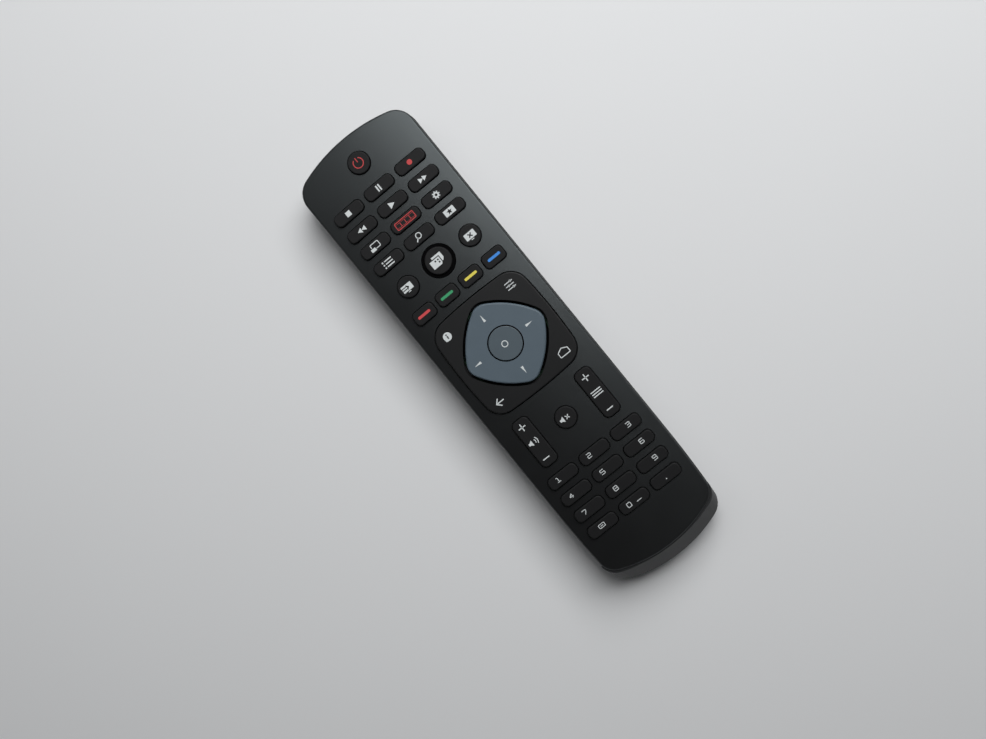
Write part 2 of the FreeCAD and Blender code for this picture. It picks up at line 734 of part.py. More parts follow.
def hull(name, inset):
    """The outer form of the whole casing, drawn in by the inset.

    It is what a plan, a cross-section, a side view and a turned heel have in common. The plan is
    widest up to the nose of the heel and slopes in from there to the lip around the front shell.
    """
    plan = new_body(name + "_plan")
    lip = s("heel_lip") + s("parting_gap")
    widest = hull_outline(inset, heel_end, s("heel_arc"), s("heel_corner"))
    lip_outline = hull_outline(inset, face_end - lip, s("face_arc") + lip, s("face_corner") + lip)
    slab(plan, widest, inset, s("heel_nose"))
    slope = plan.newObject("PartDesign::AdditiveLoft", plan.Name + "_slope")
    slope_ends = []
    for outline, height in ((widest, s("heel_nose")), (lip_outline, heel_height - inset)):
        sketch = new_sketch(plan, offset=height)
        outline(sketch)
        slope_ends.append(sketch)
    slope.Profile = slope_ends[0]
    slope.Sections = slope_ends[1:]
    slope.Ruled = True
    plan.Tip = slope
    section = new_body(name + "_section")
    sketch = new_sketch(section, role="XZ_Plane")
    hull_section(sketch, as_size(inset))
    pad(section, sketch, s("overall_length") + 2 * BEYOND, both_ways=True)
    side = new_body(name + "_side")
    sketch = new_sketch(side, role="YZ_Plane")
    hull_side(sketch, as_size(inset))
    pad(side, sketch, s("casing_width") + 2 * BEYOND, both_ways=True)
    heel = new_body(name + "_heel")
    profile = new_sketch(heel, role="XZ_Plane")
    heel_profile(profile, as_size(inset))
    turned = heel.newObject("PartDesign::Revolution", heel.Name + "_turned")
    turned.Profile = profile
    turned.ReferenceAxis = (profile, ["V_Axis"])
    turned.Angle = 360
    sketch = new_sketch(heel, offset=inset)
    rectangle(sketch, -(shell_half + BEYOND), shell_half + BEYOND, 0, s("overall_length"))
    pad(heel, sketch, heel_height - 2 * as_size(inset))
    place(heel, 0, heel_end + s("heel_arc"))
    long_form = common(name + "_long", common(name + "_sides", plan, section), side)
    return common(name, long_form, heel)


def heel_profile(sketch, inset):
    """Half a disc with a quarter-round lower rim; turned about the heel arc's centre it rounds
    the heel."""
    nose = s("heel_nose") - inset
    rim_centre = s("heel_arc") - s("heel_nose")
    x, r, low = rim_centre.number, nose.number, inset.number
    edge, high = x + r, (heel_height - inset).number
    pieces = [
        Part.LineSegment(V(0, low, 0), V(x, low, 0)),
        arc(x, low + r, r, -math.pi / 2, 0),
        Part.LineSegment(V(edge, low + r, 0), V(edge, high, 0)),
        Part.LineSegment(V(edge, high, 0), V(0, high, 0)),
        Part.LineSegment(V(0, high, 0), V(0, low, 0)),
    ]
    sketch.addGeometry(pieces, False)
    for first, second in ((0, 1), (1, 2)):
        relate(sketch, "Tangent", first, 2, second, 1)
    for first, second in ((2, 3), (3, 4), (4, 0)):
        relate(sketch, "Coincident", first, 2, second, 1)
    for line in (0, 3):
        relate(sketch, "Horizontal", line)
    for line in (2, 4):
        relate(sketch, "Vertical", line)
    relate(sketch, "PointOnObject", 4, 1, -2)
    dimension(sketch, "Radius", 1, nose)
    dimension(sketch, "DistanceX", -1, 1, 1, 3, rim_centre)
    dimension(sketch, "DistanceY", -1, 1, 0, 1, inset)
    dimension(sketch, "DistanceY", -1, 1, 3, 1, heel_height - inset)


def hull_section(sketch, inset):
    """Cross-section: flat base, two belly arcs, upright sides and a top with the face's crown."""
    belly = s("belly_corner") - inset
    crown = s("crown_arc") - s("heel_step") - inset
    crown_centre = face_height - s("crown_arc")
    half = shell_half - inset
    x, r, big, c = half.number, belly.number, crown.number, crown_centre.number
    low, high = inset.number, c + math.sqrt(big * big - x * x)
    lean = math.asin(x / big)
    q = math.pi / 2
    pieces = [
        Part.LineSegment(V(r - x, low, 0), V(x - r, low, 0)),
        arc(x - r, low + r, r, -q, 0),
        Part.LineSegment(V(x, low + r, 0), V(x, high, 0)),
        arc(0, c, big, q - lean, q + lean),
        Part.LineSegment(V(-x, high, 0), V(-x, low + r, 0)),
        arc(r - x, low + r, r, 2 * q, 3 * q),
    ]
    sketch.addGeometry(pieces, False)
    for first, second in ((0, 1), (1, 2), (4, 5), (5, 0)):
        relate(sketch, "Tangent", first, 2, second, 1)
    for first, second in ((2, 3), (3, 4)):
        relate(sketch, "Coincident", first, 2, second, 1)
    relate(sketch, "Horizontal", 0)
    relate(sketch, "Vertical", 2)
    relate(sketch, "Vertical", 4)
    relate(sketch, "Equal", 1, 5)
    relate(sketch, "PointOnObject", 3, 3, -2)
    dimension(sketch, "Radius", 1, belly)
    dimension(sketch, "Radius", 3, crown)
    dimension(sketch, "DistanceX", -1, 1, 2, 1, half)
    dimension(sketch, "DistanceX", -1, 1, 4, 1, -half)
    dimension(sketch, "DistanceY", -1, 1, 0, 1, inset)
    dimension(sketch, "DistanceY", -1, 1, 3, 3, crown_centre)


def hull_side(sketch, inset):
    """Side view: flat base, rising toe and upright top end; it runs on past the heel."""
    rise = s("rise_arc") - inset
    toe = s("toe_corner") - inset
    end = top_end - inset
    start = heel_end - BEYOND
    y0, y1, y2 = start.number, s("rise_start").number, end.number
    big, small, low, top = rise.number, toe.number, inset.number, (heel_height - inset).number
    toe_y = y2 - small
    toe_z = low + big - math.sqrt((big - small) ** 2 - (toe_y - y1) ** 2)
    lean = math.atan2(toe_z - low - big, toe_y - y1)
    pieces = [
        Part.LineSegment(V(y0, low, 0), V(y1, low, 0)),
        arc(y1, low + big, big, -math.pi / 2, lean),
        arc(toe_y, toe_z, small, lean, 0),
        Part.LineSegment(V(y2, toe_z, 0), V(y2, top, 0)),
        Part.LineSegment(V(y2, top, 0), V(y0, top, 0)),
        Part.LineSegment(V(y0, top, 0), V(y0, low, 0)),
    ]
    sketch.addGeometry(pieces, False)
    for first, second in ((0, 1), (1, 2), (2, 3)):
        relate(sketch, "Tangent", first, 2, second, 1)
    for first, second in ((3, 4), (4, 5), (5, 0)):
        relate(sketch, "Coincident", first, 2, second, 1)
    for line in (0, 4):
        relate(sketch, "Horizontal", line)
    for line in (3, 5):
        relate(sketch, "Vertical", line)
    dimension(sketch, "Radius", 1, rise)
    dimension(sketch, "Radius", 2, toe)
    dimension(sketch, "DistanceX", -1, 1, 5, 1, start)
    dimension(sketch, "DistanceX", -1, 1, 1, 1, s("rise_start"))
    dimension(sketch, "DistanceX", -1, 1, 3, 1, end)
    dimension(sketch, "DistanceY", -1, 1, 0, 1, inset)
    dimension(sketch, "DistanceY", -1, 1, 4, 1, heel_height - inset)


outer_hull = hull("outer_hull", 0)
inner_hull = hull("inner_hull", s("wall"))

bay_half = s("bay_width") / 2
bay_low = -s("bay_end")
bay_high = bay_low + s("bay_length")
bay_roof = s("bay_height") + s("bay_wall")
cover_half = s("cover_width") / 2
tongue_half = cover_half + s("cover_tongue")
rail_half = tongue_half + s("cover_gap") + s("rail_wall")
cover_end = -s("cover_reach")


def prism(name, outline, bottom, top):
    body = new_body(name)
    slab(body, outline, bottom, top)
    return body


def cover_form(name, gap):
    """The battery cover's stepped section: outer layer, then a wider layer with the tongues."""
    lower = box(
        name + "_lower", -(cover_half + gap), cover_half + gap,
        heel_end - BEYOND, cover_end + gap, -BEYOND, s("cover_lower") + gap,
    )
    upper = box(
        name + "_upper", -(tongue_half + gap), tongue_half + gap,
        heel_end - BEYOND, cover_end + gap, s("cover_lower") - gap, s("cover_thickness") + gap,
    )
    return fuse(name, lower, upper)


rail_block = box(
    "rail_block", -rail_half, rail_half,
    bay_low - s("bay_wall"), cover_end + s("rail_wall"), 0, s("rail_height"),
)
bay_block = box(
    "bay_block", -(bay_half + s("bay_wall")), bay_half + s("bay_wall"),
    bay_low - s("bay_wall"), bay_high + s("bay_wall"), 0, bay_roof,
)
RIB_COUNT = 4
ribs = [
    box(
        f"rib_{i}", -half_width, half_width,
        s("rib_first") + i * s("rib_pitch"), s("rib_first") + i * s("rib_pitch") + s("rib_wall"),
        0, s("board_height") - s("seat_gap"),
    )
    for i in range(RIB_COUNT)
]
rim_inset = s("skirt_wall") + s("rim_gap")
skirt_room = prism(
    "skirt_room", face_outline(-s("parting_gap")), parting_foot, face_height + BEYOND
)
cut_slab(skirt_room, face_outline(rim_inset), 0)
inner_blocks = cut(
    "inner_blocks",
    common("bay_and_ribs", fuse("inner_boxes", rail_block, bay_block, *ribs), outer_hull),
    skirt_room,
)
# The front shell's place, and all that would stand beside its skirt above the heel's horns
face_room = fuse(
    "face_room",
    prism("face_prism", face_outline(-s("parting_gap")), parting_foot, face_height + BEYOND),
    box(
        "side_room", -(shell_half + BEYOND), shell_half + BEYOND,
        face_end + s("heel_horn"), top_end + BEYOND, parting_foot, face_height + BEYOND,
    ),
)
rear_skin = cut("rear_skin", cut("hull_skin", outer_hull, inner_hull), face_room)
rim = prism("rim", face_outline(rim_inset), parting - s("rim_root"), parting + s("rim_rise"))
slab(rim, face_outline(s("rim_root_inset")), parting - s("rim_root"), parting_foot)
cut_slab(rim, face_outline(rim_inset + s("rim_wall")), 0)
window_room = box(
    "window_room",
    -(s("window_half_width") + s("window_gap")), s("window_half_width") + s("window_gap"),
    top_end - s("wall") - BEYOND, top_end + BEYOND,
    s("window_bottom") - s("window_gap"), s("window_top") + s("window_gap"),
)
bay_room = box("bay_room", -bay_half, bay_half, bay_low, bay_high, -BEYOND, s("bay_height"))
tab_slots = [
    box(
        f"tab_slot_{side}",
        side * s("cell_spacing") / 2 - s("contact_tab") / 2 - s("tab_gap"),
        side * s("cell_spacing") / 2 + s("contact_tab") / 2 + s("tab_gap"),
        bay_high - s("seat_gap") - s("contact_thickness") - s("tab_gap"), bay_high,
        0, bay_roof + BEYOND,
    )
    for side in (-1, 1)
]
screw_holes = [
    cylinder(
        f"screw_hole_{side}", s("screw_diameter") / 2 + s("screw_hole_gap"),
        side * s("screw_x"), -s("screw_y"), 0, bay_roof + BEYOND,
    )
    for side in (-1, 1)
]
cover_room = cover_form("cover_room", s("cover_gap"))
rear_cuts = fuse("rear_cuts", window_room, bay_room, cover_room, *tab_slots, *screw_holes)
rear_shell = cut("rear_shell", fuse("rear_with_rim", rear_skin, inner_blocks, rim), rear_cuts)

grip_low = cover_end - s("grip_margin") - s("grip_count") * s("grip_pitch")
grips = [
    box(
        f"grip_{i}", -s("grip_width") / 2, s("grip_width") / 2,
        grip_low + i * s("grip_pitch"), grip_low + i * s("grip_pitch") + s("grip_groove"),
        -BEYOND, s("grip_depth"),
    )
    for i in range(int(s("grip_count").number))
]
cover_blank = common("cover_blank", outer_hull, cover_form("cover_layers", as_size(0)))
battery_cover = cut("battery_cover", cover_blank, group("grip_cuts", grips))

window_block = box(
    "window_block", -s("window_half_width"), s("window_half_width"),
    top_end - s("wall") - BEYOND, top_end + BEYOND, s("window_bottom"), s("window_top"),
)
ir_window = common("ir_window", cut("window_skin", outer_hull, inner_hull), window_block)


# Front shell

def make_front_shell():
    body = new_body("front_shell")
    slab(body, face_outline(), parting, face_height + BEYOND)
    sketch = new_sketch(body, role="XZ_Plane")
    crown_cut(sketch)
    crowned = pocket(body, sketch, both_ways=True)

    def on_face_edge(edge):
        low = (face_height - crown_drop(half_width)).number - 0.01
        return edge.BoundBox.ZMin > low and edge.BoundBox.ZMax < face_height.number + 0.01

    round_edges(body, crowned, s("face_edge"), on_face_edge)
    cut_slab(body, face_outline(s("skirt_wall")), parting, plate_height)
    for side in (-1, 1):
        x, y = side * s("screw_x"), -s("screw_y")
        slab(body, disc(s("boss_diameter"), x, y)(), board_top + s("seat_gap"), plate_height)
        cut_slab(
            body, disc(s("screw_diameter"), x, y)(s("screw_gap")),
            board_top, s("screw_reach") + s("screw_gap"),
        )
    cut_slab(
        body,
        lambda sketch: rectangle(
            sketch,
            -(s("window_half_width") + s("window_gap")), s("window_half_width") + s("window_gap"),
            top_end - s("skirt_wall") - BEYOND, top_end + BEYOND,
        ),
        parting, s("window_top") + s("window_gap"),
    )
    gap = s("key_gap")
    for names, last_row in key_blocks():
        hole = bar(s("bar_width"), s("bar_depth"), s("bar_corner"), -column, last_row)
        feature, sketch = cut_slab(body, hole(gap), 0)
        repeat(body, feature, sketch, column, len(names[0]), s("row_pitch"), len(names))
    hole = bar(
        s("colour_width"), s("colour_depth"), s("colour_corner"), -colour_half_row, colour_row
    )
    feature, sketch = cut_slab(body, hole(gap), 0)
    repeat(body, feature, sketch, s("colour_pitch"), len(COLOUR_KEYS))
    hole = bar(s("rocker_width"), s("rocker_depth"), s("rocker_corner"), -column, rocker_row)
    feature, sketch = cut_slab(body, hole(gap), 0)
    repeat(body, feature, sketch, 2 * column, 2)
    sketch = new_sketch(body)
    disc(s("power_diameter"), 0, power_row)(gap)(sketch)
    disc(s("window_diameter"), 0, round_row)(gap)(sketch)
    disc(s("round_diameter"), 0, rocker_row)(gap)(sketch)
    for side in (-1, 1):
        disc(s("round_diameter"), side * side_round_x, side_round_row)(gap)(sketch)
    pocket(body, sketch)
    sketch = new_sketch(body)
    bind(sketch, "AttachmentOffset.Base.y", nav_y)
    corner_square(s("corner_gap"))(sketch)
    pocket(body, sketch)
    return body


def crown_cut(sketch):
    """Everything above the crowned face, as a profile across the remote."""
    half = half_width + BEYOND
    r, x = s("crown_arc").number, half.number
    centre = face_height.number - r
    edge = centre + math.sqrt(r * r - x * x)
    top = face_height + 2 * BEYOND
    lean = math.asin(x / r)
    pieces = [
        arc(0, centre, r, math.pi / 2 - lean, math.pi / 2 + lean),
        Part.LineSegment(V(-x, edge, 0), V(-x, top.number, 0)),
        Part.LineSegment(V(-x, top.number, 0), V(x, top.number, 0)),
        Part.LineSegment(V(x, top.number, 0), V(x, edge, 0)),
    ]
    sketch.addGeometry(pieces, False)
    for i in range(4):
        relate(sketch, "Coincident", i, 2, (i + 1) % 4, 1)
    relate(sketch, "Vertical", 1)
    relate(sketch, "Horizontal", 2)
    relate(sketch, "Vertical", 3)
    relate(sketch, "PointOnObject", 0, 3, -2)
    dimension(sketch, "Radius", 0, s("crown_arc"))
    dimension(sketch, "DistanceY", -1, 1, 0, 3, face_height - s("crown_arc"))
    dimension(sketch, "DistanceX", -1, 1, 3, 1, half)
    dimension(sketch, "DistanceX", -1, 1, 1, 1, -half)
    dimension(sketch, "DistanceY", -1, 1, 2, 1, top)


front_shell = make_front_shell()


# Keys

def make_push_key(name, outline, x, y):
    """Cap, retaining flange and plunger in one moulding; it is pushed straight in."""
    body = new_body(name)
    top = face_height - crown_drop(x) + s("key_rise")
    slab(body, outline(s("key_lip")), key_flange_bottom, key_flange_top)
    slab(body, outline(), key_flange_top, top)
    tip = pad_top + s("key_travel") + s("seat_gap")
    last = slab(body, disc(s("plunger_diameter"))(), tip, key_flange_bottom)
    round_edges(body, last, s("key_edge"), at_height(top))
    place(body, x, y)
    return body


def make_window_key():
    """The large round key: a low foot with a raised middle."""
    body = new_body("window_key")
    foot = disc(s("window_diameter"))
    top = face_height + s("key_rise") + s("window_foot_rise")
    slab(body, foot(s("key_lip")), key_flange_bottom, key_flange_top)
    slab(body, foot(), key_flange_top, face_height + s("window_foot_rise"))
    slab(body, disc(s("window_top_diameter"))(), face_height + s("window_foot_rise"), top)
    tip = pad_top + s("key_travel") + s("seat_gap")
    last = slab(body, disc(s("plunger_diameter"))(), tip, key_flange_bottom)
    round_edges(body, last, s("key_edge"), at_height(top))
    place(body, 0, round_row)
    return body


def make_rocker(name, side):
    """Long key that tilts on two nibs under the plate; a plunger stands under each end."""
    body = new_body(name)
    x = side * column
    top = face_height - crown_drop(x) + s("key_rise")
    swing = math.sin(math.radians(s("rocker_tilt").number))
    room = (s("rocker_depth") / 2 + s("key_lip")) * swing + s("swing_gap")
    flange_top = plate_height - room
    flange_bottom = flange_top - s("lip_thickness")
    slab(body, rocker_bar(s("key_lip")), flange_bottom, flange_top)
    slab(body, rocker_bar(), flange_top, top)
    nib_width = s("rocker_width") + 2 * s("key_lip")
    slab(
        body,
        lambda sketch: rectangle(
            sketch, -nib_width / 2, nib_width / 2, -s("key_lip") / 2, s("key_lip") / 2
        ),
        flange_bottom, plate_height - s("seat_gap"),
    )
    reach = s("rocker_plunger_reach")
    tip = pad_top + reach * swing + s("swing_gap")
    for end in (-1, 1):
        last = slab(body, disc(s("plunger_diameter"), 0, end * reach)(), tip, flange_bottom)
    round_edges(body, last, s("key_edge"), at_height(top))
    place(body, x, rocker_row)
    return body


for name, outline, x, y in push_keys:
    make_push_key(name, outline, x, y)
make_window_key()
make_rocker("volume_rocker", -1)
make_rocker("channel_rocker", 1)

# Direction keys: the square corner plate, the ring in it and the key in the middle of the ring

corner_top = face_height + s("corner_rise")
corner_under = corner_top - s("corner_thickness")
ring_top = face_height + s("ring_rise")
ring_flange_top = corner_under - s("ring_flange_drop")
ring_flange_bottom = ring_flange_top - s("lip_thickness")
ring_flange_radius = s("ring_flange_diameter") / 2
confirm_radius = s("confirm_diameter") / 2
confirm_flange_top = ring_flange_top + s("confirm_seat")
support_inner = ring_flange_radius + s("support_gap")
support_outer = support_inner + s("support_width")
inner_support_inner = confirm_radius + s("confirm_lip") + s("ring_support_gap")
inner_support_outer = inner_support_inner + s("ring_support_width")
nub_radius = s("nub_diameter") / 2


def make_corner_plate():
    """Square plate with four corner keys; it tilts in its opening and carries a skirt and flange."""
    body = new_body("corner_plate")
    swing = math.sin(math.radians(s("corner_tilt").number))
    room = (s("corner_size") / 2 + s("key_lip")) * math.sqrt(2) * swing + s("swing_gap")
    flange_top = plate_height - room
    flange_bottom = flange_top - s("lip_thickness")
    slab(body, corner_square(s("key_lip")), flange_bottom, flange_top)
    last = slab(body, corner_square(), flange_top, corner_top)
    round_edges(body, last, s("key_edge"), at_height(corner_top))
    cut_slab(body, corner_square(-s("corner_skirt")), 0, corner_under)
    cut_slab(body, ring_square(s("ring_gap")), 0, turn=RING_TURN)
    reach = s("corner_plunger_reach")
    tip = pad_top + reach * math.sqrt(2) * swing + s("swing_gap")
    for x in (-reach, reach):
        for y in (-reach, reach):
            slab(body, disc(s("plunger_diameter"), x, y)(), tip, corner_under)
    place(body, 0, nav_y)
    return body


def make_direction_ring():
    """Four-way ring: bowed square turned by 45 degrees, with a round flange under the corner plate."""
    body = new_body("direction_ring")
    swing = math.sin(math.radians(s("ring_tilt").number))
    slab(body, disc(s("ring_flange_diameter"))(), ring_flange_bottom, ring_flange_top)
    last = slab(body, ring_square(), ring_flange_top, ring_top, turn=RING_TURN)
    round_edges(body, last, s("ring_edge"), at_height(ring_top))
    cut_slab(body, disc(s("confirm_diameter"))(s("confirm_gap")), 0)
    cut_slab(
        body, disc(s("confirm_diameter"))(s("confirm_lip") + s("confirm_gap")),
        0, confirm_flange_top + s("seat_gap"),
    )
    reach = s("ring_plunger_reach")
    tip = pad_top + reach * swing + s("swing_gap")
    for x, y in ((reach, 0), (-reach, 0), (0, reach), (0, -reach)):
        slab(body, disc(s("plunger_diameter"), x, y)(), tip, ring_flange_bottom)
    place(body, 0, nav_y)
    return body


def make_confirm_key():
    """Round key in the middle of the ring."""
    body = new_body("confirm_key")
    top = ring_top + s("confirm_rise")
    outline = disc(s("confirm_diameter"))
    flange_bottom = confirm_flange_top - s("lip_thickness")
    slab(body, outline(s("confirm_lip")), flange_bottom, confirm_flange_top)
    slab(body, outline(), confirm_flange_top, top)
    tip = pad_top + s("key_travel") + s("swing_gap")
    last = slab(body, disc(s("plunger_diameter"))(), tip, flange_bottom)
    round_edges(body, last, s("key_edge"), at_height(top))
    place(body, 0, nav_y)
    return body


def make_support(name, inner, outer, ceiling, nub_turn):
    """Rubber ring on the board: it rocks on two nubs below and carries two nubs on top."""
    body = new_body(name)
    bottom = board_top + s("support_clearance")
    top = ceiling - s("support_clearance")
    slab(body, lambda sketch: circle(sketch, 0, 0, outer), bottom, top)
    cut_slab(body, lambda sketch: circle(sketch, 0, 0, inner), 0)
    middle = (inner + outer) / 2
    for side in (-1, 1):
        slab(
            body, lambda sketch: circle(sketch, side * middle, 0, nub_radius),
            board_top + s("seat_gap"), bottom, turn=nub_turn,
        )
        slab(
            body, lambda sketch: circle(sketch, 0, side * middle, nub_radius),
            top, ceiling - s("seat_gap"), turn=nub_turn,
        )
    place(body, 0, nav_y)
    return body


make_corner_plate()
make_direction_ring()
make_confirm_key()
make_support("corner_support", support_inner, support_outer, corner_under, 45)
make_support("ring_support", inner_support_inner, inner_support_outer, ring_flange_bottom, 0)


# Board, mat and contact pads

def plunger_places():
    """Every place where a plunger meets the board."""
    places = [(x, y) for _, _, x, y in push_keys]
    places.append((as_size(0), round_row))
    for side in (-1, 1):
        for end in (-1, 1):
            places.append((side * column, rocker_row + end * s("rocker_plunger_reach")))
            reach = s("corner_plunger_reach")
            places.append((side * reach, nav_y + end * reach))
        places.append((side * s("ring_plunger_reach"), nav_y))
        places.append((as_size(0), nav_y + side * s("ring_plunger_reach")))
    places.append((as_size(0), nav_y))
    return places


def make_board():
    body = new_body("circuit_board")
    slab(body, face_outline(s("board_inset")), s("board_height"), board_top)
    for side in (-1, 1):
        hole = disc(s("screw_diameter"), side * s("screw_x"), -s("screw_y"))
        cut_slab(body, hole(s("screw_hole_gap")), 0)
    return body


def make_key_mat():
    """Rubber sheet on the board with a well for each plunger and a window for the direction keys."""
    body = new_body("key_mat")
    slab(body, face_outline(s("mat_inset")), board_top + s("mat_gap"), mat_top)
    gap = s("well_gap")
    for names, last_row in key_blocks():
        well = disc(s("plunger_diameter"), -column, last_row)
        feature, sketch = cut_slab(body, well(gap), 0)
        repeat(body, feature, sketch, column, len(names[0]), s("row_pitch"), len(names))
    well = disc(s("plunger_diameter"), -colour_half_row, colour_row)
    feature, sketch = cut_slab(body, well(gap), 0)
    repeat(body, feature, sketch, s("colour_pitch"), len(COLOUR_KEYS))
    slot = bar(s("rocker_width"), s("rocker_depth"), s("rocker_corner"), -column, rocker_row)
    feature, sketch = cut_slab(body, slot(s("key_lip") + s("key_gap")), 0)
    repeat(body, feature, sketch, 2 * column, 2)
    sketch = new_sketch(body)
    for y in (power_row, round_row, rocker_row):
        disc(s("plunger_diameter"), 0, y)(gap)(sketch)
    for side in (-1, 1):
        disc(s("plunger_diameter"), side * side_round_x, side_round_row)(gap)(sketch)
        disc(s("boss_diameter"), side * s("screw_x"), -s("screw_y"))(s("key_gap"))(sketch)
    pocket(body, sketch)
    sketch = new_sketch(body)
    bind(sketch, "AttachmentOffset.Base.y", nav_y)
    corner_square(s("key_lip") + s("corner_gap"))(sketch)
    pocket(body, sketch)
    return body


make_board()
make_key_mat()
group(
    "contact_pads",
    [
        cylinder(f"contact_pad_{i}", s("pad_diameter") / 2, x, y, board_top, pad_top)
        for i, (x, y) in enumerate(plunger_places())
    ],
)


# Parts on the board

def make_emitter():
    """Infrared emitter under the end of the board, with its leads up to the board."""
    body = new_body("ir_emitter")
    centre = s("board_height") - s("emitter_drop")
    tip = top_end - s("wall") - s("emitter_end")
    base = tip - s("emitter_length")
    for diameter, length in (
        (s("emitter_flange"), s("emitter_flange_length")),
        (s("emitter_diameter"), s("emitter_length")),
    ):
        sketch = new_sketch(body, role="XZ_Plane", offset=-base)
        circle(sketch, 0, centre, diameter / 2)
        last = pad(body, sketch, length)
        last.Reversed = True

    def at_tip(edge):
        ends = edge.BoundBox.YMin, edge.BoundBox.YMax
        return all(abs(end - tip.number) < 1e-4 for end in ends)

    round_edges(body, last, s("emitter_diameter") / 2 - s("emitter_flat"), at_tip)
    half = s("lead_width") / 2
    back = base - s("lead_reach")
    for side in (-1, 1):
        x = side * s("lead_spacing") / 2
        slab(
            body, lambda sketch: rectangle(sketch, x - half, x + half, back, base + half),
            centre - half, centre + half,
        )
        slab(
            body, lambda sketch: rectangle(sketch, x - half, x + half, back, back + s("lead_width")),
            centre - half, s("board_height"),
        )


make_emitter()


def under_board(name, width, depth, height, x, y):
    """A plain package soldered to the underside of the board."""
    return box(
        name, x - width / 2, x + width / 2, y - depth / 2, y + depth / 2,
        s("board_height") - height, s("board_height"),
    )


under_board(
    "controller_chip", s("chip_width"), s("chip_length"), s("chip_height"), 0, s("chip_row")
)
under_board(
    "resonator", s("resonator_width"), s("resonator_depth"), s("resonator_height"),
    -s("chip_row_pitch"), s("chip_row"),
)
under_board(
    "smoothing_capacitor", s("capacitor_width"), s("capacitor_length"), s("capacitor_height"),
    s("chip_row_pitch"), s("chip_row"),
)
under_board(
    "driver_transistor", s("transistor_width"), s("transistor_depth"), s("transistor_height"),
    s("transistor_x"), s("transistor_y"),
)
RESISTOR_COUNT = 4
group(
    "chip_resistors",
    [
        under_board(
            f"chip_resistor_{i}", s("resistor_width"), s("resistor_length"), s("resistor_height"),
            (i - (RESISTOR_COUNT - 1) / 2) * s("resistor_pitch"), s("resistor_row"),
        )
        for i in range(RESISTOR_COUNT)
    ],
)


# Cells, contacts and springs

cell_height = s("cover_thickness") + s("cell_lift") + s("cell_diameter") / 2
contact_low = cell_height - s("contact_height") / 2
contact_high = cell_height + s("contact_height") / 2
# A contact plate with the gap on each side of it
contact_room = s("contact_thickness") + 2 * s("seat_gap")
left_cell_foot = bay_high - contact_room - s("cell_length")
right_cell_foot = bay_low + contact_room + s("cell_length")


def make_cell(name, side):
    """AAA cell with its negative end at its own origin, pointing along the remote."""
    body = new_body(name)
    for diameter, length in (
        (s("cell_diameter"), s("cell_length") - s("cell_button_length")),
        (s("cell_button_diameter"), s("cell_length")),
    ):
        sketch = new_sketch(body, role="XZ_Plane")
        circle(sketch, 0, 0, diameter / 2)
        last = pad(body, sketch, length)
        last.Reversed = True
    if side > 0:
        body.Placement = FreeCAD.Placement(V(0, 0, 0), FreeCAD.Rotation(UP, 180))
    foot = left_cell_foot if side < 0 else right_cell_foot
    place(body, side * s("cell_spacing") / 2, foot, cell_height)


make_cell("left_battery", -1)
make_cell("right_battery", 1)


def make_board_contact(name, side):
    """Plate against the upper wall of the bay, with a tab through the roof to the board."""
    x = side * s("cell_spacing") / 2
    far = bay_high - s("seat_gap")
    near = far - s("contact_thickness")
    plate = box(
        name + "_plate", x - s("contact_width") / 2, x + s("contact_width") / 2,
        near, far, contact_low, contact_high,
    )
    tab = box(
        name + "_tab", x - s("contact_tab") / 2, x + s("contact_tab") / 2,
        near, far, contact_low, s("board_height"),
    )
    return fuse(name, plate, tab)


make_board_contact("positive_contact", -1)
make_board_contact("negative_contact", 1)
bridge_half = (s("cell_spacing") + s("contact_width")) / 2
box(
    "bridge_contact", -bridge_half, bridge_half,
    bay_low + s("seat_gap"), bay_low + s("seat_gap") + s("contact_thickness"),
    contact_low, contact_high,
)


def make_spring(name, x, start, end):
    """Conical battery spring from y = start to y = end: quarter-turn arcs along a tapering helix."""
    wire = s("spring_wire").number
    turns = s("spring_turns").number
    wide = s("spring_diameter").number / 2
    narrow = s("spring_tip_diameter").number / 2
    sign = 1 if end.number > start.number else -1
    first = start.number + sign * wire / 2
    last = end.number - sign * wire / 2

    def point(turn):
        share = turn / turns
        radius = wide + (narrow - wide) * share
        angle = 2 * math.pi * turn
        return V(
            x.number + radius * math.cos(angle),
            first + (last - first) * share,
            cell_height.number + radius * math.sin(angle),
        )

    steps = int(round(turns * 4))
    arcs = [
        Part.Arc(point(i * turns / steps), point((i + 0.5) * turns / steps), point((i + 1) * turns / steps))
        for i in range(steps)
    ]
    path = Part.Wire([piece.toShape() for piece in arcs])
    along = arcs[0].tangent(arcs[0].FirstParameter)[0]
    section = Part.Wire(Part.Circle(point(0), along, wire / 2).toShape())
    feature = doc.addObject("Part::Feature", name)
    feature.Shape = path.makePipeShell([section], True, False)
    print(name, "least gap between turns", round(abs(last - first) / turns - wire, 2))
    return feature


left_spring = make_spring(
    "left_spring", -s("cell_spacing") / 2, bay_low + contact_room, left_cell_foot - s("seat_gap")
)
right_spring = make_spring(
    "right_spring", s("cell_spacing") / 2, bay_high - contact_room, right_cell_foot + s("seat_gap")
)
group("battery_springs", [left_spring, right_spring])

# Case screws

screws = []
for side in (-1, 1):
    x, y = side * s("screw_x"), -s("screw_y")
    seat = s("bay_height") - s("seat_gap")
    screws.append(
        fuse(
            f"case_screw_{side}",
            cylinder(f"screw_head_{side}", s("screw_head") / 2, x, y, seat - s("screw_head_height"), seat),
            cylinder(f"screw_shank_{side}", s("screw_diameter") / 2, x, y, seat, s("screw_reach")),
        )
    )
group("case_screws", screws)

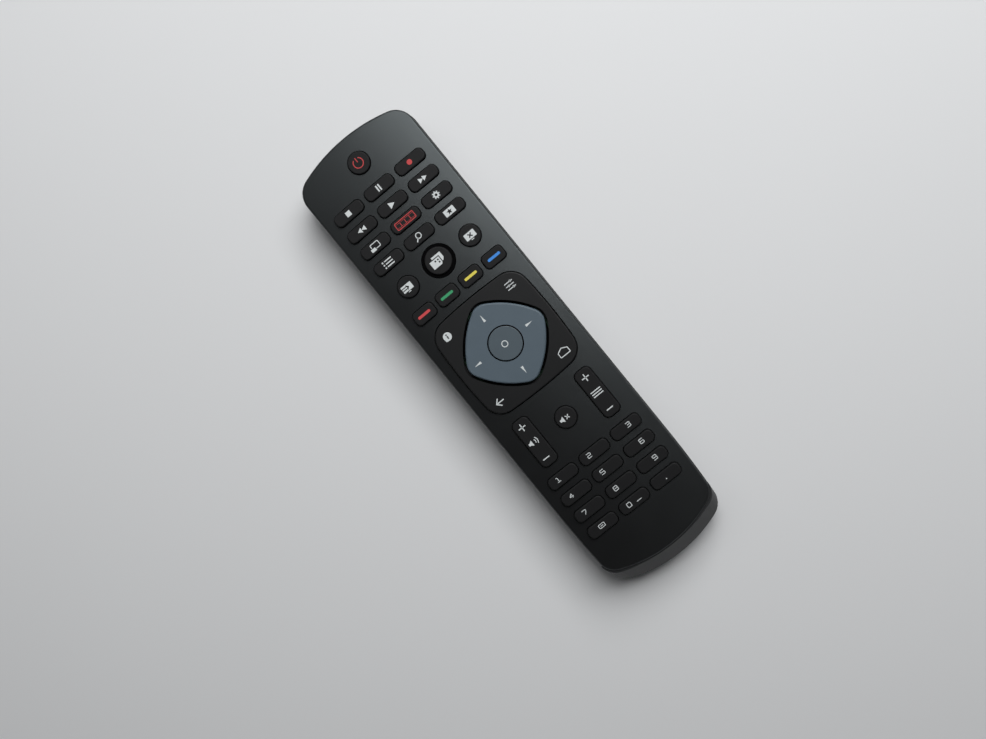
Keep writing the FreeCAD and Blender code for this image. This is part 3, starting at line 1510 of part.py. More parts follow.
PUSH_KEY_NAMES = tuple(name for name, _, _, _ in push_keys)
NODES = PUSH_KEY_NAMES + (
    "window_key", "volume_rocker", "channel_rocker", "corner_plate", "direction_ring",
    "confirm_key", "corner_support", "ring_support",
    "front_shell", "rear_shell", "battery_cover", "ir_window", "case_screws",
    "circuit_board", "key_mat", "contact_pads", "ir_emitter", "controller_chip", "resonator",
    "smoothing_capacitor", "driver_transistor", "chip_resistors",
    "left_battery", "right_battery", "positive_contact", "negative_contact", "bridge_contact",
    "battery_springs",
)

doc.recompute()
for thing in doc.Objects:
    faults = {"Invalid", "Error"} & set(thing.State)
    if faults:
        raise RuntimeError(f"{thing.Name} is {faults}")
shapes = {}
for name in NODES:
    shape = doc.getObject(name).Shape
    if shape.isNull() or not shape.isValid() or not shape.Solids:
        raise RuntimeError(f"{name} has no valid solid")
    shapes[name] = shape
os.makedirs("parts", exist_ok=True)
for name, shape in shapes.items():
    shape.exportStep(f"parts/{name}.step")
print(len(shapes), "nodes written")
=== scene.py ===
"""Looks of a handheld television remote control: finishes, printed symbols, light and camera.

Metres in the scene; the printed symbols are drawn in millimetres about the middle of their key.
+Z points up out of the key face, +Y to the end that is aimed at the screen.
"""

import json
import math

import bpy
import numpy as np
from mathutils import Matrix, Vector


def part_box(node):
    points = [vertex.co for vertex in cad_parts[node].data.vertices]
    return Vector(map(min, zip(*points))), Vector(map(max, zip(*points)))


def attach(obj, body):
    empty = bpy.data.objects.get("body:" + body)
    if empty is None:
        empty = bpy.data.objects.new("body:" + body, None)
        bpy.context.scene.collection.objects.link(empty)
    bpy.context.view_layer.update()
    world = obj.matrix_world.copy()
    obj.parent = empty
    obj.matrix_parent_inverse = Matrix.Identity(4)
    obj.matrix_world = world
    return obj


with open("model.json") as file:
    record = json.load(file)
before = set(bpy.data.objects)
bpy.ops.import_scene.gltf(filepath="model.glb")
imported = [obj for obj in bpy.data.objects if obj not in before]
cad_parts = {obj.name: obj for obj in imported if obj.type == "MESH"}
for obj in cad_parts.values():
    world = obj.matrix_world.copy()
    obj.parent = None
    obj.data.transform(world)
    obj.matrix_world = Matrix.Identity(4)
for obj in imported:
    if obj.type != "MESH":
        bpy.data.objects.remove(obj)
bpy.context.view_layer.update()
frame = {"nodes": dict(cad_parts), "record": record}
MM = 0.001


# Flat solids for print and small mouldings. Each is (points, faces) in millimetres.

PRINT_TOP = 0.03
PRINT_FOOT = -0.02
# All the print sits a little to the left of the middle of its key
PRINT_DRIFT = -0.15
CURVE_STEPS = 28


def circle(radius, centre=(0, 0), start=0, end=360, steps=CURVE_STEPS):
    """Points on a circle from angle start to angle end, in degrees from +x; a full turn closes."""
    full = abs(end - start) >= 360
    turn = np.radians(np.linspace(start, end, steps, endpoint=not full))
    return np.stack([np.cos(turn), np.sin(turn)], 1) * radius + centre


def oblong(width, depth, centre=(0, 0)):
    """The four corners of a rectangle, anticlockwise from the lower left."""
    half = np.array([width, depth]) / 2
    return np.array([(-1, -1), (1, -1), (1, 1), (-1, 1)]) * half + centre


def softened(path, cut, closed=False, steps=5):
    """Each corner becomes the parabola from cut before it to cut after it, with the corner as its
    control point; an open path keeps its two ends."""
    path = np.asarray(path, float)
    before = np.roll(path, 1, 0) - path
    after = np.roll(path, -1, 0) - path
    start = path + before / np.linalg.norm(before, axis=1, keepdims=True) * cut
    end = path + after / np.linalg.norm(after, axis=1, keepdims=True) * cut
    t = np.linspace(0, 1, steps)[None, :, None]
    curve = (1 - t) ** 2 * start[:, None] + 2 * t * (1 - t) * path[:, None] + t ** 2 * end[:, None]
    if closed:
        return curve.reshape(-1, 2)
    return np.concatenate([path[:1], curve[1:-1].reshape(-1, 2), path[-1:]])


def band(path, width, closed=False, foot=PRINT_FOOT, top=PRINT_TOP):
    """A flat bar along a path. At each point the path is moved sideways by half the width, along the
    mitred normal of the two runs that meet there, once each way, at the foot and at the top."""
    path = np.asarray(path, float)
    run = np.roll(path, -1, 0) - path
    run /= np.linalg.norm(run, axis=1, keepdims=True)
    after = np.stack([-run[:, 1], run[:, 0]], 1)
    before = np.roll(after, 1, 0)
    if not closed:
        before[0] = after[0]
        after[-1] = before[-1]
    mitre = (after + before) / (1 + (after * before).sum(1, keepdims=True)) * width / 2
    edges = np.stack([path - mitre, path + mitre, path + mitre, path - mitre], 1)
    heights = np.broadcast_to(np.array([foot, foot, top, top])[None, :, None], (len(path), 4, 1))
    points = np.concatenate([edges, heights], 2).reshape(-1, 3)
    count = len(path)
    spans = np.arange(count if closed else count - 1)[:, None]
    corner = np.arange(4)[None, :]
    following = (spans + 1) % count
    beside = (corner + 1) % 4
    quads = np.stack([
        spans * 4 + corner, spans * 4 + beside, following * 4 + beside, following * 4 + corner,
    ], 2).reshape(-1, 4)
    faces = quads.tolist()
    if not closed:
        last = (count - 1) * 4
        faces += [[0, 3, 2, 1], [last, last + 1, last + 2, last + 3]]
    return points, faces


def plate(outline, foot=PRINT_FOOT, top=PRINT_TOP):
    """A flat solid inside a closed outline: the outline at the foot, and again at the top."""
    outline = np.asarray(outline, float)
    x, y = outline.T
    if (x * np.roll(y, -1) - np.roll(x, -1) * y).sum() < 0:
        outline = outline[::-1]
    count = len(outline)
    low = np.column_stack([outline, np.full(count, foot)])
    high = np.column_stack([outline, np.full(count, top)])
    i = np.arange(count)
    j = (i + 1) % count
    sides = np.stack([i, j, j + count, i + count], 1).tolist()
    return np.concatenate([low, high]), sides + [i[::-1].tolist(), (i + count).tolist()]


def moved(shape, at=(0, 0), turn=0, lift=0):
    """The flat solid turned by an angle in degrees, then moved by at and lifted."""
    points, faces = shape
    c, s = math.cos(math.radians(turn)), math.sin(math.radians(turn))
    turned = points @ np.array([[c, s, 0], [-s, c, 0], [0, 0, 1]])
    return turned + [at[0], at[1], lift], faces


def joined(shapes):
    """Several flat solids as one list of points and faces."""
    points, faces, first = [], [], 0
    for shape_points, shape_faces in shapes:
        points.append(shape_points)
        faces += [[first + i for i in face] for face in shape_faces]
        first += len(shape_points)
    return np.concatenate(points), faces


def new_piece(name, points, faces, finish, body):
    """A mesh piece whose points are given in metres in the remote's own frame."""
    mesh = bpy.data.meshes.new(name)
    mesh.from_pydata([tuple(point) for point in points], [], faces)
    mesh.update()
    mesh.materials.append(finish.material)
    piece = bpy.data.objects.new(name, mesh)
    bpy.context.scene.collection.objects.link(piece)
    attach(piece, body)
    return piece


def body_of_node(node):
    """The moving body that holds a node."""
    bodies = frame["record"]["behaviour"]["bodies"]
    return next(body for body, nodes in bodies.items() if node in nodes)


def printed(name, node, shapes, finish, at=(0, 0)):
    """Prints flat solids on the top of a key, their places in millimetres from its middle."""
    low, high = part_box(node)
    points, faces = joined(shapes)
    middle = np.array([(low.x + high.x) / 2, (low.y + high.y) / 2, high.z])
    points = (points + [at[0] + PRINT_DRIFT, at[1], 0]) * MM + middle
    return new_piece(name, points, faces, finish, body_of_node(node))


# Finishes

# Grains: the size and the depth of the bumps, in metres
FACE_GRAIN = (0.00022, 0.000008)
BACK_GRAIN = (0.00030, 0.000014)
KEY_GRAIN = (0.00010, 0.000004)
SATIN_GRAIN = (0.00012, 0.000004)
SLATE_GRAIN = (0.00012, 0.000003)
MAT_GRAIN = (0.0002, 0.000006)
BOARD_GRAIN = (0.0006, 0.000010)
PAD_GRAIN = (0.00015, 0.000004)
CHIP_GRAIN = (0.00012, 0.000005)
WRAP_GRAIN = (0.0008, 0.000004)
ROLLING_GRAIN = (0.0004, 0.000003)
# A glossy window or lens has only wide, shallow waves
GLOSSY_WAVES = (0.002, 0.000002)

# Smudges: the size of the patches in metres, and how far the roughness goes each way
PLASTIC_SMUDGES = (0.012, 0.03)
WRAP_SMUDGES = (0.006, 0.05)
METAL_SMUDGES = (0.004, 0.06)

# Mottles: the size of the patches in metres, and the share that the colour goes each way
PLASTIC_MOTTLE = (0.006, 0.06)
WRAP_MOTTLE = (0.004, 0.06)
INK_MOTTLE = (0.0008, 0.05)
TABLE_MOTTLE = (0.08, 0.006)

# Painted shade: the near black put on the foot of a key cap, where the gap around the key is in shade
GAP_SHADE_BLACK = (0.003, 0.003, 0.0032)
BACK_COLOUR = (0.016, 0.017, 0.018)
RUBBER_COLOUR = (0.0060, 0.0062, 0.0068)
NICKEL_COLOUR = (0.62, 0.60, 0.56)
COPPER_COLOUR = (0.55, 0.26, 0.10)
MARK_COLOUR = (0.10, 0.10, 0.105)
# The shine of the face is slightly blue
FACE_SHINE = (0.89, 1.0, 1.03)

# Heights above the table below which these caps are painted a dull near black, as painted shade for the gap
# around them
RING_SHADED_BELOW = 19.5 * MM
CONFIRM_SHADED_BELOW = 22.24 * MM
WINDOW_SHADED_BELOW = 21.6 * MM


def calculated(tree, operation, first, second=0.0, kept_to_one=False):
    """The output of one Math node on two values, each a number or another node's output."""
    node = tree.nodes.new("ShaderNodeMath")
    node.operation = operation
    node.use_clamp = kept_to_one
    for socket, value in zip(node.inputs, (first, second)):
        if isinstance(value, (int, float)):
            socket.default_value = value
        else:
            tree.links.new(value, socket)
    return node.outputs["Value"]


class Finish:
    """A procedural material on object coordinates. Each step of its making returns the finish, so
    the steps can follow one another."""

    def __init__(self, name, colour, roughness, specular=0.5, metallic=0.0):
        self.material = bpy.data.materials.new(name)
        self.material.use_nodes = True
        self.tree = self.material.node_tree
        self.shader = self.tree.nodes["Principled BSDF"]
        self.colour = colour
        self.roughness = roughness
        self.set("Base Color", (*colour, 1))
        self.set("Roughness", roughness)
        self.set("Specular IOR Level", specular)
        self.set("Metallic", metallic)
        self.place = self.tree.nodes.new("ShaderNodeTexCoord").outputs["Object"]

    def set(self, socket, value):
        """Gives a socket of the shader a value."""
        self.shader.inputs[socket].default_value = value

    def link(self, output, socket):
        """Joins a node's output to a socket."""
        self.tree.links.new(output, socket)

    def noise(self, size, detail=2.0):
        """Noise whose features are about this size, in metres."""
        noise = self.tree.nodes.new("ShaderNodeTexNoise")
        noise.inputs["Scale"].default_value = 1 / size
        noise.inputs["Detail"].default_value = detail
        self.link(self.place, noise.inputs["Vector"])
        return noise.outputs["Fac"]

    def between(self, factor, low, high):
        """The factor carried from 0..1 to low..high."""
        node = self.tree.nodes.new("ShaderNodeMapRange")
        node.inputs["To Min"].default_value = low
        node.inputs["To Max"].default_value = high
        self.link(factor, node.inputs["Value"])
        return node.outputs["Result"]

    def grained(self, size, depth):
        """Fine bumps of this size and depth, in metres."""
        bump = self.tree.nodes.new("ShaderNodeBump")
        bump.inputs["Distance"].default_value = depth
        self.link(self.noise(size), bump.inputs["Height"])
        self.link(bump.outputs["Normal"], self.shader.inputs["Normal"])
        return self

    def smudged(self, size, change):
        """Roughness that drifts by the change each way over patches of this size."""
        low, high = self.roughness - change, self.roughness + change
        self.link(self.between(self.noise(size, 4.0), low, high), self.shader.inputs["Roughness"])
        return self

    def colour_mix(self):
        """A node that mixes colours A and B and now gives the shader its colour."""
        mix = self.tree.nodes.new("ShaderNodeMix")
        mix.data_type = "RGBA"
        self.paint = mix.outputs["Result"]
        self.link(self.paint, self.shader.inputs["Base Color"])
        return mix

    def mottled(self, size, share):
        """Colour that lightens and darkens by the share over patches of this size."""
        mix = self.colour_mix()
        mix.inputs["A"].default_value = (*(c * (1 - share) for c in self.colour), 1)
        mix.inputs["B"].default_value = (*(c * (1 + share) for c in self.colour), 1)
        self.link(self.noise(size, 3.0), mix.inputs["Factor"])
        return self

    def painted(self, where, colour):
        """Another colour over the mottled one where the mask is one."""
        under = self.paint
        mix = self.colour_mix()
        mix.inputs["B"].default_value = (*colour, 1)
        self.link(where, mix.inputs["Factor"])
        self.link(under, mix.inputs["A"])
        return self

    def gap_shaded(self, height):
        """Painted shade: below a height, the cap of a key is painted a dull near black without shine,
        standing in for the shade in the gap around it.
        """
        below = self.calculated("LESS_THAN", self.axis("Z"), height)
        shine = self.shader.inputs["Specular IOR Level"]
        self.link(self.between(below, shine.default_value, 0), shine)
        return self.painted(below, GAP_SHADE_BLACK)

    def tinted(self, colour):
        """A colour for the shine."""
        self.set("Specular Tint", (*colour, 1))
        return self

    def calculated(self, operation, first, second=0.0):
        """One Math node of this finish."""
        return calculated(self.tree, operation, first, second)

    def axis(self, name):
        """The place along one axis, in metres."""
        parts = self.tree.nodes.new("ShaderNodeSeparateXYZ")
        self.link(self.place, parts.inputs["Vector"])
        return parts.outputs[name]

    def share_along(self, start, end):
        """The share of the way along y: nothing at the start, one at the end."""
        past_start = self.calculated("SUBTRACT", self.axis("Y"), start)
        return self.calculated("DIVIDE", past_start, end - start)


def moulded(name, colour, roughness, grain, specular=0.5):
    """Injection-moulded plastic with an even grain, faint smudges and a slight mottle."""
    finish = Finish(name, colour, roughness, specular)
    return finish.grained(*grain).smudged(*PLASTIC_SMUDGES).mottled(*PLASTIC_MOTTLE)


def ink(name, colour):
    """Screen-printed ink: flat colour with a faint unevenness."""
    finish = Finish(name, colour, roughness=0.55, specular=0.3)
    return finish.grained(*SATIN_GRAIN).mottled(*INK_MOTTLE)


def plated(name, colour, roughness):
    """Plated metal with fine rolling marks."""
    finish = Finish(name, colour, roughness, metallic=1.0)
    return finish.grained(*ROLLING_GRAIN).smudged(*METAL_SMUDGES)


def marked_cover():
    """Back plastic with a plain triangle that points the way the battery cover slides. A place on
    the underside is marked where |x| is under half the foot's width times the share of the way
    from the tip to the foot."""
    tip, foot = -65.5 * MM, -60.0 * MM
    half_foot = 3.5 * MM
    underside = 0.4 * MM
    finish = moulded("cover_plastic", BACK_COLOUR, 0.50, BACK_GRAIN, 0.3)
    share = finish.share_along(tip, foot)
    beside = finish.calculated("ABSOLUTE", finish.axis("X"))
    inside = finish.calculated("LESS_THAN", beside, finish.calculated("MULTIPLY", share, half_foot))
    before_foot = finish.calculated("LESS_THAN", share, 1.0)
    below = finish.calculated("LESS_THAN", finish.axis("Z"), underside)
    marked = finish.calculated("MULTIPLY", finish.calculated("MULTIPLY", inside, before_foot), below)
    return finish.painted(marked, MARK_COLOUR)


def cell_wrap(node, button_up):
    """A cell's printed wrap: dark with a copper shoulder at the button, and bare plated ends. The
    share runs from nothing at the flat end to one at the button."""
    base_end, shoulder_start, button_start = 0.02, 0.68, 0.965
    low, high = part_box(node)
    flat, button = (low.y, high.y) if button_up else (high.y, low.y)
    finish = Finish(node + "_wrap", (0.018, 0.019, 0.022), 0.32)
    finish.grained(*WRAP_GRAIN).smudged(*WRAP_SMUDGES).mottled(*WRAP_MOTTLE)
    share = finish.share_along(flat, button)
    shoulder = finish.calculated("GREATER_THAN", share, shoulder_start)
    base = finish.calculated("LESS_THAN", share, base_end)
    finish.painted(shoulder, COPPER_COLOUR)
    finish.painted(finish.calculated("GREATER_THAN", share, button_start), NICKEL_COLOUR)
    finish.painted(base, NICKEL_COLOUR)
    finish.link(finish.calculated("ADD", shoulder, base), finish.shader.inputs["Metallic"])
    return finish


KEY_BLACK = moulded("key_rubber_black", RUBBER_COLOUR, 0.60, KEY_GRAIN, 0.2)

FINISH_OF_SLOT = {
    "face_plastic": moulded(
        "face_plastic", (0.0056, 0.0052, 0.0054), 0.37, FACE_GRAIN).tinted(FACE_SHINE),
    "back_plastic": moulded("back_plastic", BACK_COLOUR, 0.50, BACK_GRAIN, 0.3),
    "key_plastic": KEY_BLACK,
    # The foot of the ring gets painted shade below a height
    "ring_plastic": moulded(
        "ring_slate", (0.081, 0.110, 0.135), 0.45, SLATE_GRAIN, 0.3).gap_shaded(RING_SHADED_BELOW),
    "window_plastic": moulded("window_dark", (0.010, 0.004, 0.006), 0.08, GLOSSY_WAVES),
    "mat_rubber": moulded("mat_rubber", (0.010, 0.010, 0.011), 0.65, MAT_GRAIN, 0.2),
    "board_laminate": moulded("board_mask", (0.010, 0.060, 0.026), 0.35, BOARD_GRAIN),
    "pad_carbon": moulded("pad_carbon", (0.015, 0.015, 0.016), 0.55, PAD_GRAIN),
    "emitter_resin": moulded("emitter_resin", (0.25, 0.26, 0.34), 0.10, GLOSSY_WAVES),
    "chip_epoxy": moulded("chip_epoxy", (0.020, 0.020, 0.022), 0.50, CHIP_GRAIN),
    "capacitor_sleeve": moulded("capacitor_sleeve", (0.020, 0.035, 0.120), 0.30, WRAP_GRAIN),
    "can_steel": plated("can_steel", (0.56, 0.56, 0.56), 0.30),
    "contact_nickel": plated("contact_nickel", NICKEL_COLOUR, 0.28),
    "screw_steel": plated("screw_steel", (0.50, 0.50, 0.50), 0.35),
}
# These nodes look unlike the rest of their slot
FINISH_OF_NODE = {
    # The feet of the confirm and window caps get painted shade below a height
    "confirm_key": moulded(
        "confirm_slate", (0.070, 0.093, 0.110), 0.45, SLATE_GRAIN, 0.3).gap_shaded(CONFIRM_SHADED_BELOW),
    "window_key": moulded(
        "window_cap_black", RUBBER_COLOUR, 0.60, KEY_GRAIN, 0.2).gap_shaded(WINDOW_SHADED_BELOW),
    "corner_plate": moulded(
        "corner_plate_black", (0.0056, 0.0060, 0.0066), 0.46, SATIN_GRAIN, 0.24),
    "battery_cover": marked_cover(),
    "left_battery": cell_wrap("left_battery", button_up=True),
    "right_battery": cell_wrap("right_battery", button_up=False),
}
for row in frame["record"]["subparts"]:
    finish = FINISH_OF_NODE.get(row["node"]) or FINISH_OF_SLOT[row["material_slot"]]
    for slot in frame["nodes"][row["node"]].material_slots:
        slot.material = finish.material

WHITE_INK = ink("print_white", (0.60, 0.635, 0.64))
RED_INK = ink("print_red", (0.50, 0.050, 0.052))
BAR_RED = ink("print_bar_red", (0.56, 0.060, 0.065))
BAR_GREEN = ink("print_bar_green", (0.038, 0.30, 0.130))
BAR_YELLOW = ink("print_bar_yellow", (0.68, 0.58, 0.085))
BAR_BLUE = ink("print_bar_blue", (0.045, 0.24, 0.68))


# Symbols. Widths and heights in millimetres.

LINE = 0.42
FINE_LINE = 0.34


def square(size):
    """A filled square."""
    return [plate(oblong(size, size))]


def bars(height, width, spacing):
    """Two upright bars."""
    return [plate(oblong(width, height, (side * spacing / 2, 0))) for side in (-1, 1)]


def dot(radius, centre=(0, 0)):
    """A filled circle."""
    return [plate(circle(radius, centre))]


def arrowheads(count, length, height, way=1):
    """Solid triangles in a row, pointing along +x or -x."""
    shapes = []
    for i in range(count):
        foot = way * (i - count / 2) * length
        shapes.append(plate([(foot, -height / 2), (foot + way * length, 0), (foot, height / 2)]))
    return shapes


def power_sign(radius=1.95):
    """A ring with a gap at the top and a bar in the gap."""
    half_gap = 30
    bar_foot, bar_top = 0.15 * radius, 1.15 * radius
    ring = band(circle(radius, start=90 + half_gap, end=450 - half_gap), FINE_LINE)
    return [ring, band([(0, bar_foot), (0, bar_top)], FINE_LINE)]


def inset_screen(width=4.5, height=3.0):
    """A screen outline with a small filled screen over its lower left corner, past a gap."""
    small = np.array([2.1, 1.25])
    gap = 0.25
    corner = -np.array([width, height]) / 2
    left = corner[0] + 0.75
    right, top = -corner - FINE_LINE / 2
    foot = corner[1] + 0.55
    outline = [
        (left, corner[1] + small[1] + gap), (left, top), (right, top), (right, foot),
        (corner[0] + small[0] + gap, foot),
    ]
    return [band(softened(outline, 0.4), FINE_LINE), plate(oblong(*small, corner + small / 2))]


def film_strip(width=8.6, height=2.8):
    """A strip of film: two edges, frame lines and a row of perforations along each edge."""
    frames, holes = 4, 13
    edge = 0.30
    hole_width, hole_height, hole_inset = 0.30, 0.26, 0.55
    shapes = [band(softened(oblong(width, height), 0.3, True), edge, True)]
    for i in range(1, frames):
        x = (i / frames - 0.5) * width
        shapes.append(plate(oblong(edge * 0.8, height * 0.52, (x, 0))))
    for i in range(holes):
        x = ((i + 0.5) / holes - 0.5) * (width - edge)
        for side in (-1, 1):
            hole = oblong(hole_width, hole_height, (x, side * (height / 2 - hole_inset)))
            shapes.append(plate(hole))
    return shapes


def gear(radius=0.84, teeth=8):
    """A broad ring with short square teeth."""
    rim = 0.62
    tooth_width, tooth_height, tooth_out = 0.48, 0.50, 0.15
    shapes = [band(circle(radius), rim, True)]
    tooth = plate(oblong(tooth_width, tooth_height, (0, radius + rim / 2 + tooth_out)))
    for i in range(teeth):
        shapes.append(moved(tooth, turn=i * 360 / teeth))
    return shapes


def rows_list(width=4.4, rows=3):
    """Rows, each a long line after a dot."""
    spacing, dot_radius = 1.15, 0.34
    line_length, line_height, line_middle = width - 1.15, 0.46, 0.57
    shapes = []
    for i in range(rows):
        y = (1 - i) * spacing
        shapes += dot(dot_radius, (-width / 2 + dot_radius, y))
        shapes.append(plate(oblong(line_length, line_height, (line_middle, y))))
    return shapes


def magnifier(radius=1.08):
    """A ring with a handle down to the left."""
    centre = np.array([0.3, 0.45])
    handle_length = 1.5
    way = np.array([-1, -0.95]) / math.hypot(1, 0.95)
    handle = [centre + way * radius, centre + way * (radius + handle_length)]
    return [band(circle(radius, centre), FINE_LINE, True), band(handle, LINE)]


def star(radius):
    """The ten corners of a five-pointed star, one point up."""
    inner = radius * 0.42
    corner = np.arange(10)
    turn = np.radians(90 + 36 * corner)
    reach = np.where(corner % 2 == 0, radius, inner)
    return np.stack([np.cos(turn), np.sin(turn)], 1) * reach[:, None]


def card(width=4.55, height=2.65):
    """A filled card whose corners are slightly softened."""
    return [plate(softened(oblong(width, height), 0.2, True))]


def speaker(x=0):
    """A loudspeaker in side view: a small box and its cone."""
    back, throat, mouth = x - 0.9, x - 0.3, x + 0.8
    box_half, mouth_half = 0.48, 1.2
    return [plate([
        (back, -box_half), (throat, -box_half), (mouth, -mouth_half),
        (mouth, mouth_half), (throat, box_half), (back, box_half),
    ])]


def sound_waves(x, radii):
    """Arcs that spread to the right, half_angle degrees each way."""
    half_angle, steps = 42, 10
    return [band(circle(r, (x, 0), -half_angle, half_angle, steps), FINE_LINE) for r in radii]


def cross(size, centre=(0, 0), width=LINE, turn=0):
    """Two bars across each other."""
    arms = [plate(oblong(size, width)), plate(oblong(width, size))]
    return [moved(arm, centre, turn) for arm in arms]


def dash(length, centre=(0, 0), width=LINE):
    """One level bar."""
    return [plate(oblong(length, width, centre))]


def lines(width, spacing, count=3):
    """Level lines above one another."""
    return [plate(oblong(width, LINE, (0, (i - (count - 1) / 2) * spacing))) for i in range(count)]


def sliders(width=3.6, spacing=1.25):
    """Three level lines from the lowest up, each with a knob at a share of half its length."""
    knob_places = (0.45, -0.30, 0.50)
    knob_width, knob_height = 0.55, 0.85
    shapes = []
    for i, knob in enumerate(knob_places):
        y = (i - 1) * spacing
        shapes += dash(width, (0, y), FINE_LINE)
        shapes.append(plate(oblong(knob_width, knob_height, (knob * width / 2, y))))
    return shapes


def bubble(radius=1.7):
    """A round bubble with a square lower left corner."""
    corner = -0.85 * radius
    rim = circle(radius, start=-90, end=180)
    return [plate(np.concatenate([rim, [(corner, corner)]]))]


def back_arrow(length=3.4, head=1.6):
    """An open arrow that points left; its shaft starts a little inside the point."""
    tip = -length / 2
    shaft_start = tip + 0.3
    barbs = [(tip + head, head), (tip, 0), (tip + head, -head)]
    return [band(barbs, LINE), band([(shaft_start, 0), (-tip, 0)], LINE)]


def home_outline(width=4.3, height=3.0):
    """A house: a box with a low roof."""
    eaves = height * 0.16
    outline = [
        (-width / 2, -height / 2), (width / 2, -height / 2), (width / 2, eaves),
        (0, height / 2), (-width / 2, eaves),
    ]
    return [band(softened(outline, 0.25, True), FINE_LINE, True)]


def sheets():
    """Two overlapping sheets: the back one shows above and to the right, past a gap."""
    back = [
        (-1.6, 1.6), (-1.6, 2.4), (2.65, 2.4), (2.65, -0.1), (1.9, -1.0), (1.5, -1.0), (1.5, 1.6),
    ]
    front = [(-3.1, -1.9), (0.6, -1.9), (1.15, -1.3), (1.15, 1.25), (-3.1, 1.25)]
    return [plate(back), plate(front)]


def sheet_windows():
    """Three small squares for the upper right of the front sheet."""
    side = 0.62
    left, right, upper, lower = -0.9, 0.3, 0.40, -0.65
    return [plate(oblong(side, side, at)) for at in ((left, upper), (right, upper), (right, lower))]


def screen(width=4.55, height=2.7):
    """A filled screen with a short foot, past a gap."""
    foot_width, foot_height, foot_below = 1.2, 0.3, 0.45
    foot = oblong(foot_width, foot_height, (0, -height / 2 - foot_below))
    return card(width, height) + [plate(foot)]


def arrow_right(length, height, shaft):
    """A solid arrow, its tip at +x and its middle at the origin."""
    head = height / 2
    neck = length / 2 - head
    return [plate([
        (-length / 2, -shaft / 2), (neck, -shaft / 2), (neck, -head), (length / 2, 0),
        (neck, head), (neck, shaft / 2), (-length / 2, shaft / 2),
    ])]


DIGIT_WIDTH = 1.60
DIGIT_HEIGHT = 1.72
DIGIT_LINE = 0.27
DIGIT_SOFTENING = 0.28
# Strokes of each digit on a cell one wide and two high
DIGIT_STROKES = {
    0: [[(0, 0), (1, 0), (1, 2), (0, 2)]],
    1: [[(0.15, 2), (0.55, 2), (0.55, 0)], [(0.1, 0), (1, 0)]],
    2: [[(0, 2), (1, 2), (1, 1), (0, 1), (0, 0), (1, 0)]],
    3: [[(0, 2), (1, 2), (1, 0), (0, 0)], [(0.2, 1), (1, 1)]],
    4: [[(0.75, 0), (0.75, 2), (0, 0.75), (1.1, 0.75)]],
    5: [[(1, 2), (0, 2), (0, 1), (1, 1), (1, 0), (0, 0)]],
    6: [[(1, 2), (0, 2), (0, 0), (1, 0), (1, 1), (0, 1)]],
    7: [[(0, 2), (1, 2), (1, 1.3), (0.45, 0)]],
    8: [[(0, 0), (1, 0), (1, 2), (0, 2)], [(0, 1), (1, 1)]],
    9: [[(0, 0), (1, 0), (1, 2), (0, 2), (0, 1), (1, 1)]],
}
CLOSED_DIGITS = (0, 8)


def digit(number):
    """A squared digit with softened corners."""
    cell = np.array([DIGIT_WIDTH, DIGIT_HEIGHT / 2])
    shapes = []
    for i, stroke in enumerate(DIGIT_STROKES[number]):
        path = (np.array(stroke, float) - (0.5, 1)) * cell
        closed = number in CLOSED_DIGITS and i == 0
        if len(path) > 2:
            path = softened(path, DIGIT_SOFTENING, closed)
        shapes.append(band(path, DIGIT_LINE, closed))
    return shapes


# Lift that puts a shape on another, with its own top a little above
ON_PRINT = PRINT_TOP + 0.01


def over(shapes, layers=1):
    """The same shapes lifted to lie on one or more printed layers."""
    return [moved(shape, lift=ON_PRINT * layers) for shape in shapes]


def print_command_keys():
    """The power key and the keys above the corner plate."""
    printed("power_sign", "power_key", power_sign(), RED_INK)
    printed("stop_sign", "stop_key", square(2.05), WHITE_INK)
    printed("pause_sign", "pause_key", bars(2.6, 0.55, 1.05), WHITE_INK)
    printed("record_sign", "record_key", dot(1.05), RED_INK)
    printed("rewind_sign", "rewind_key", arrowheads(2, 1.8, 2.1, -1), WHITE_INK)
    printed("play_sign", "play_key", arrowheads(1, 2.4, 2.6), WHITE_INK)
    printed("forward_sign", "forward_key", arrowheads(2, 1.8, 2.1), WHITE_INK)
    printed("picture_sign", "picture_key", inset_screen(), WHITE_INK)
    printed("film_sign", "film_key", film_strip(), RED_INK)
    printed("settings_sign", "settings_key", gear(), WHITE_INK)
    printed("guide_sign", "guide_key", rows_list(), WHITE_INK)
    printed("search_sign", "search_key", magnifier(), WHITE_INK)
    printed("menu_card", "menu_key", card(), WHITE_INK)
    printed("menu_star", "menu_key", over([plate(star(1.25))]), KEY_BLACK)
    printed("source_screen", "source_key", screen(), WHITE_INK, (-0.3, 0))
    printed("source_arrow_edge", "source_key", over(arrow_right(3.2, 2.2, 1.2)), KEY_BLACK, (-1.0, 0))
    printed("source_arrow", "source_key", over(arrow_right(2.3, 1.0, 0.5), 2), WHITE_INK, (-1.35, 0))
    printed("window_sheets", "window_key", sheets(), WHITE_INK)
    printed("window_squares", "window_key", over(sheet_windows()), KEY_BLACK)
    printed("exit_screen", "exit_key", screen(), WHITE_INK, (0.2, 0))
    printed("exit_mark", "exit_key", over(cross(2.1, width=0.45, turn=45)), KEY_BLACK, (0.2, 0))
    bar = plate(softened(oblong(5.6, 1.05), 0.45, True))
    for name, colour, x in (
        ("red", BAR_RED, 0), ("green", BAR_GREEN, 0), ("yellow", BAR_YELLOW, 0.35), ("blue", BAR_BLUE, 0.3),
    ):
        printed(name + "_bar", name + "_key", [bar], colour, (x, 0))


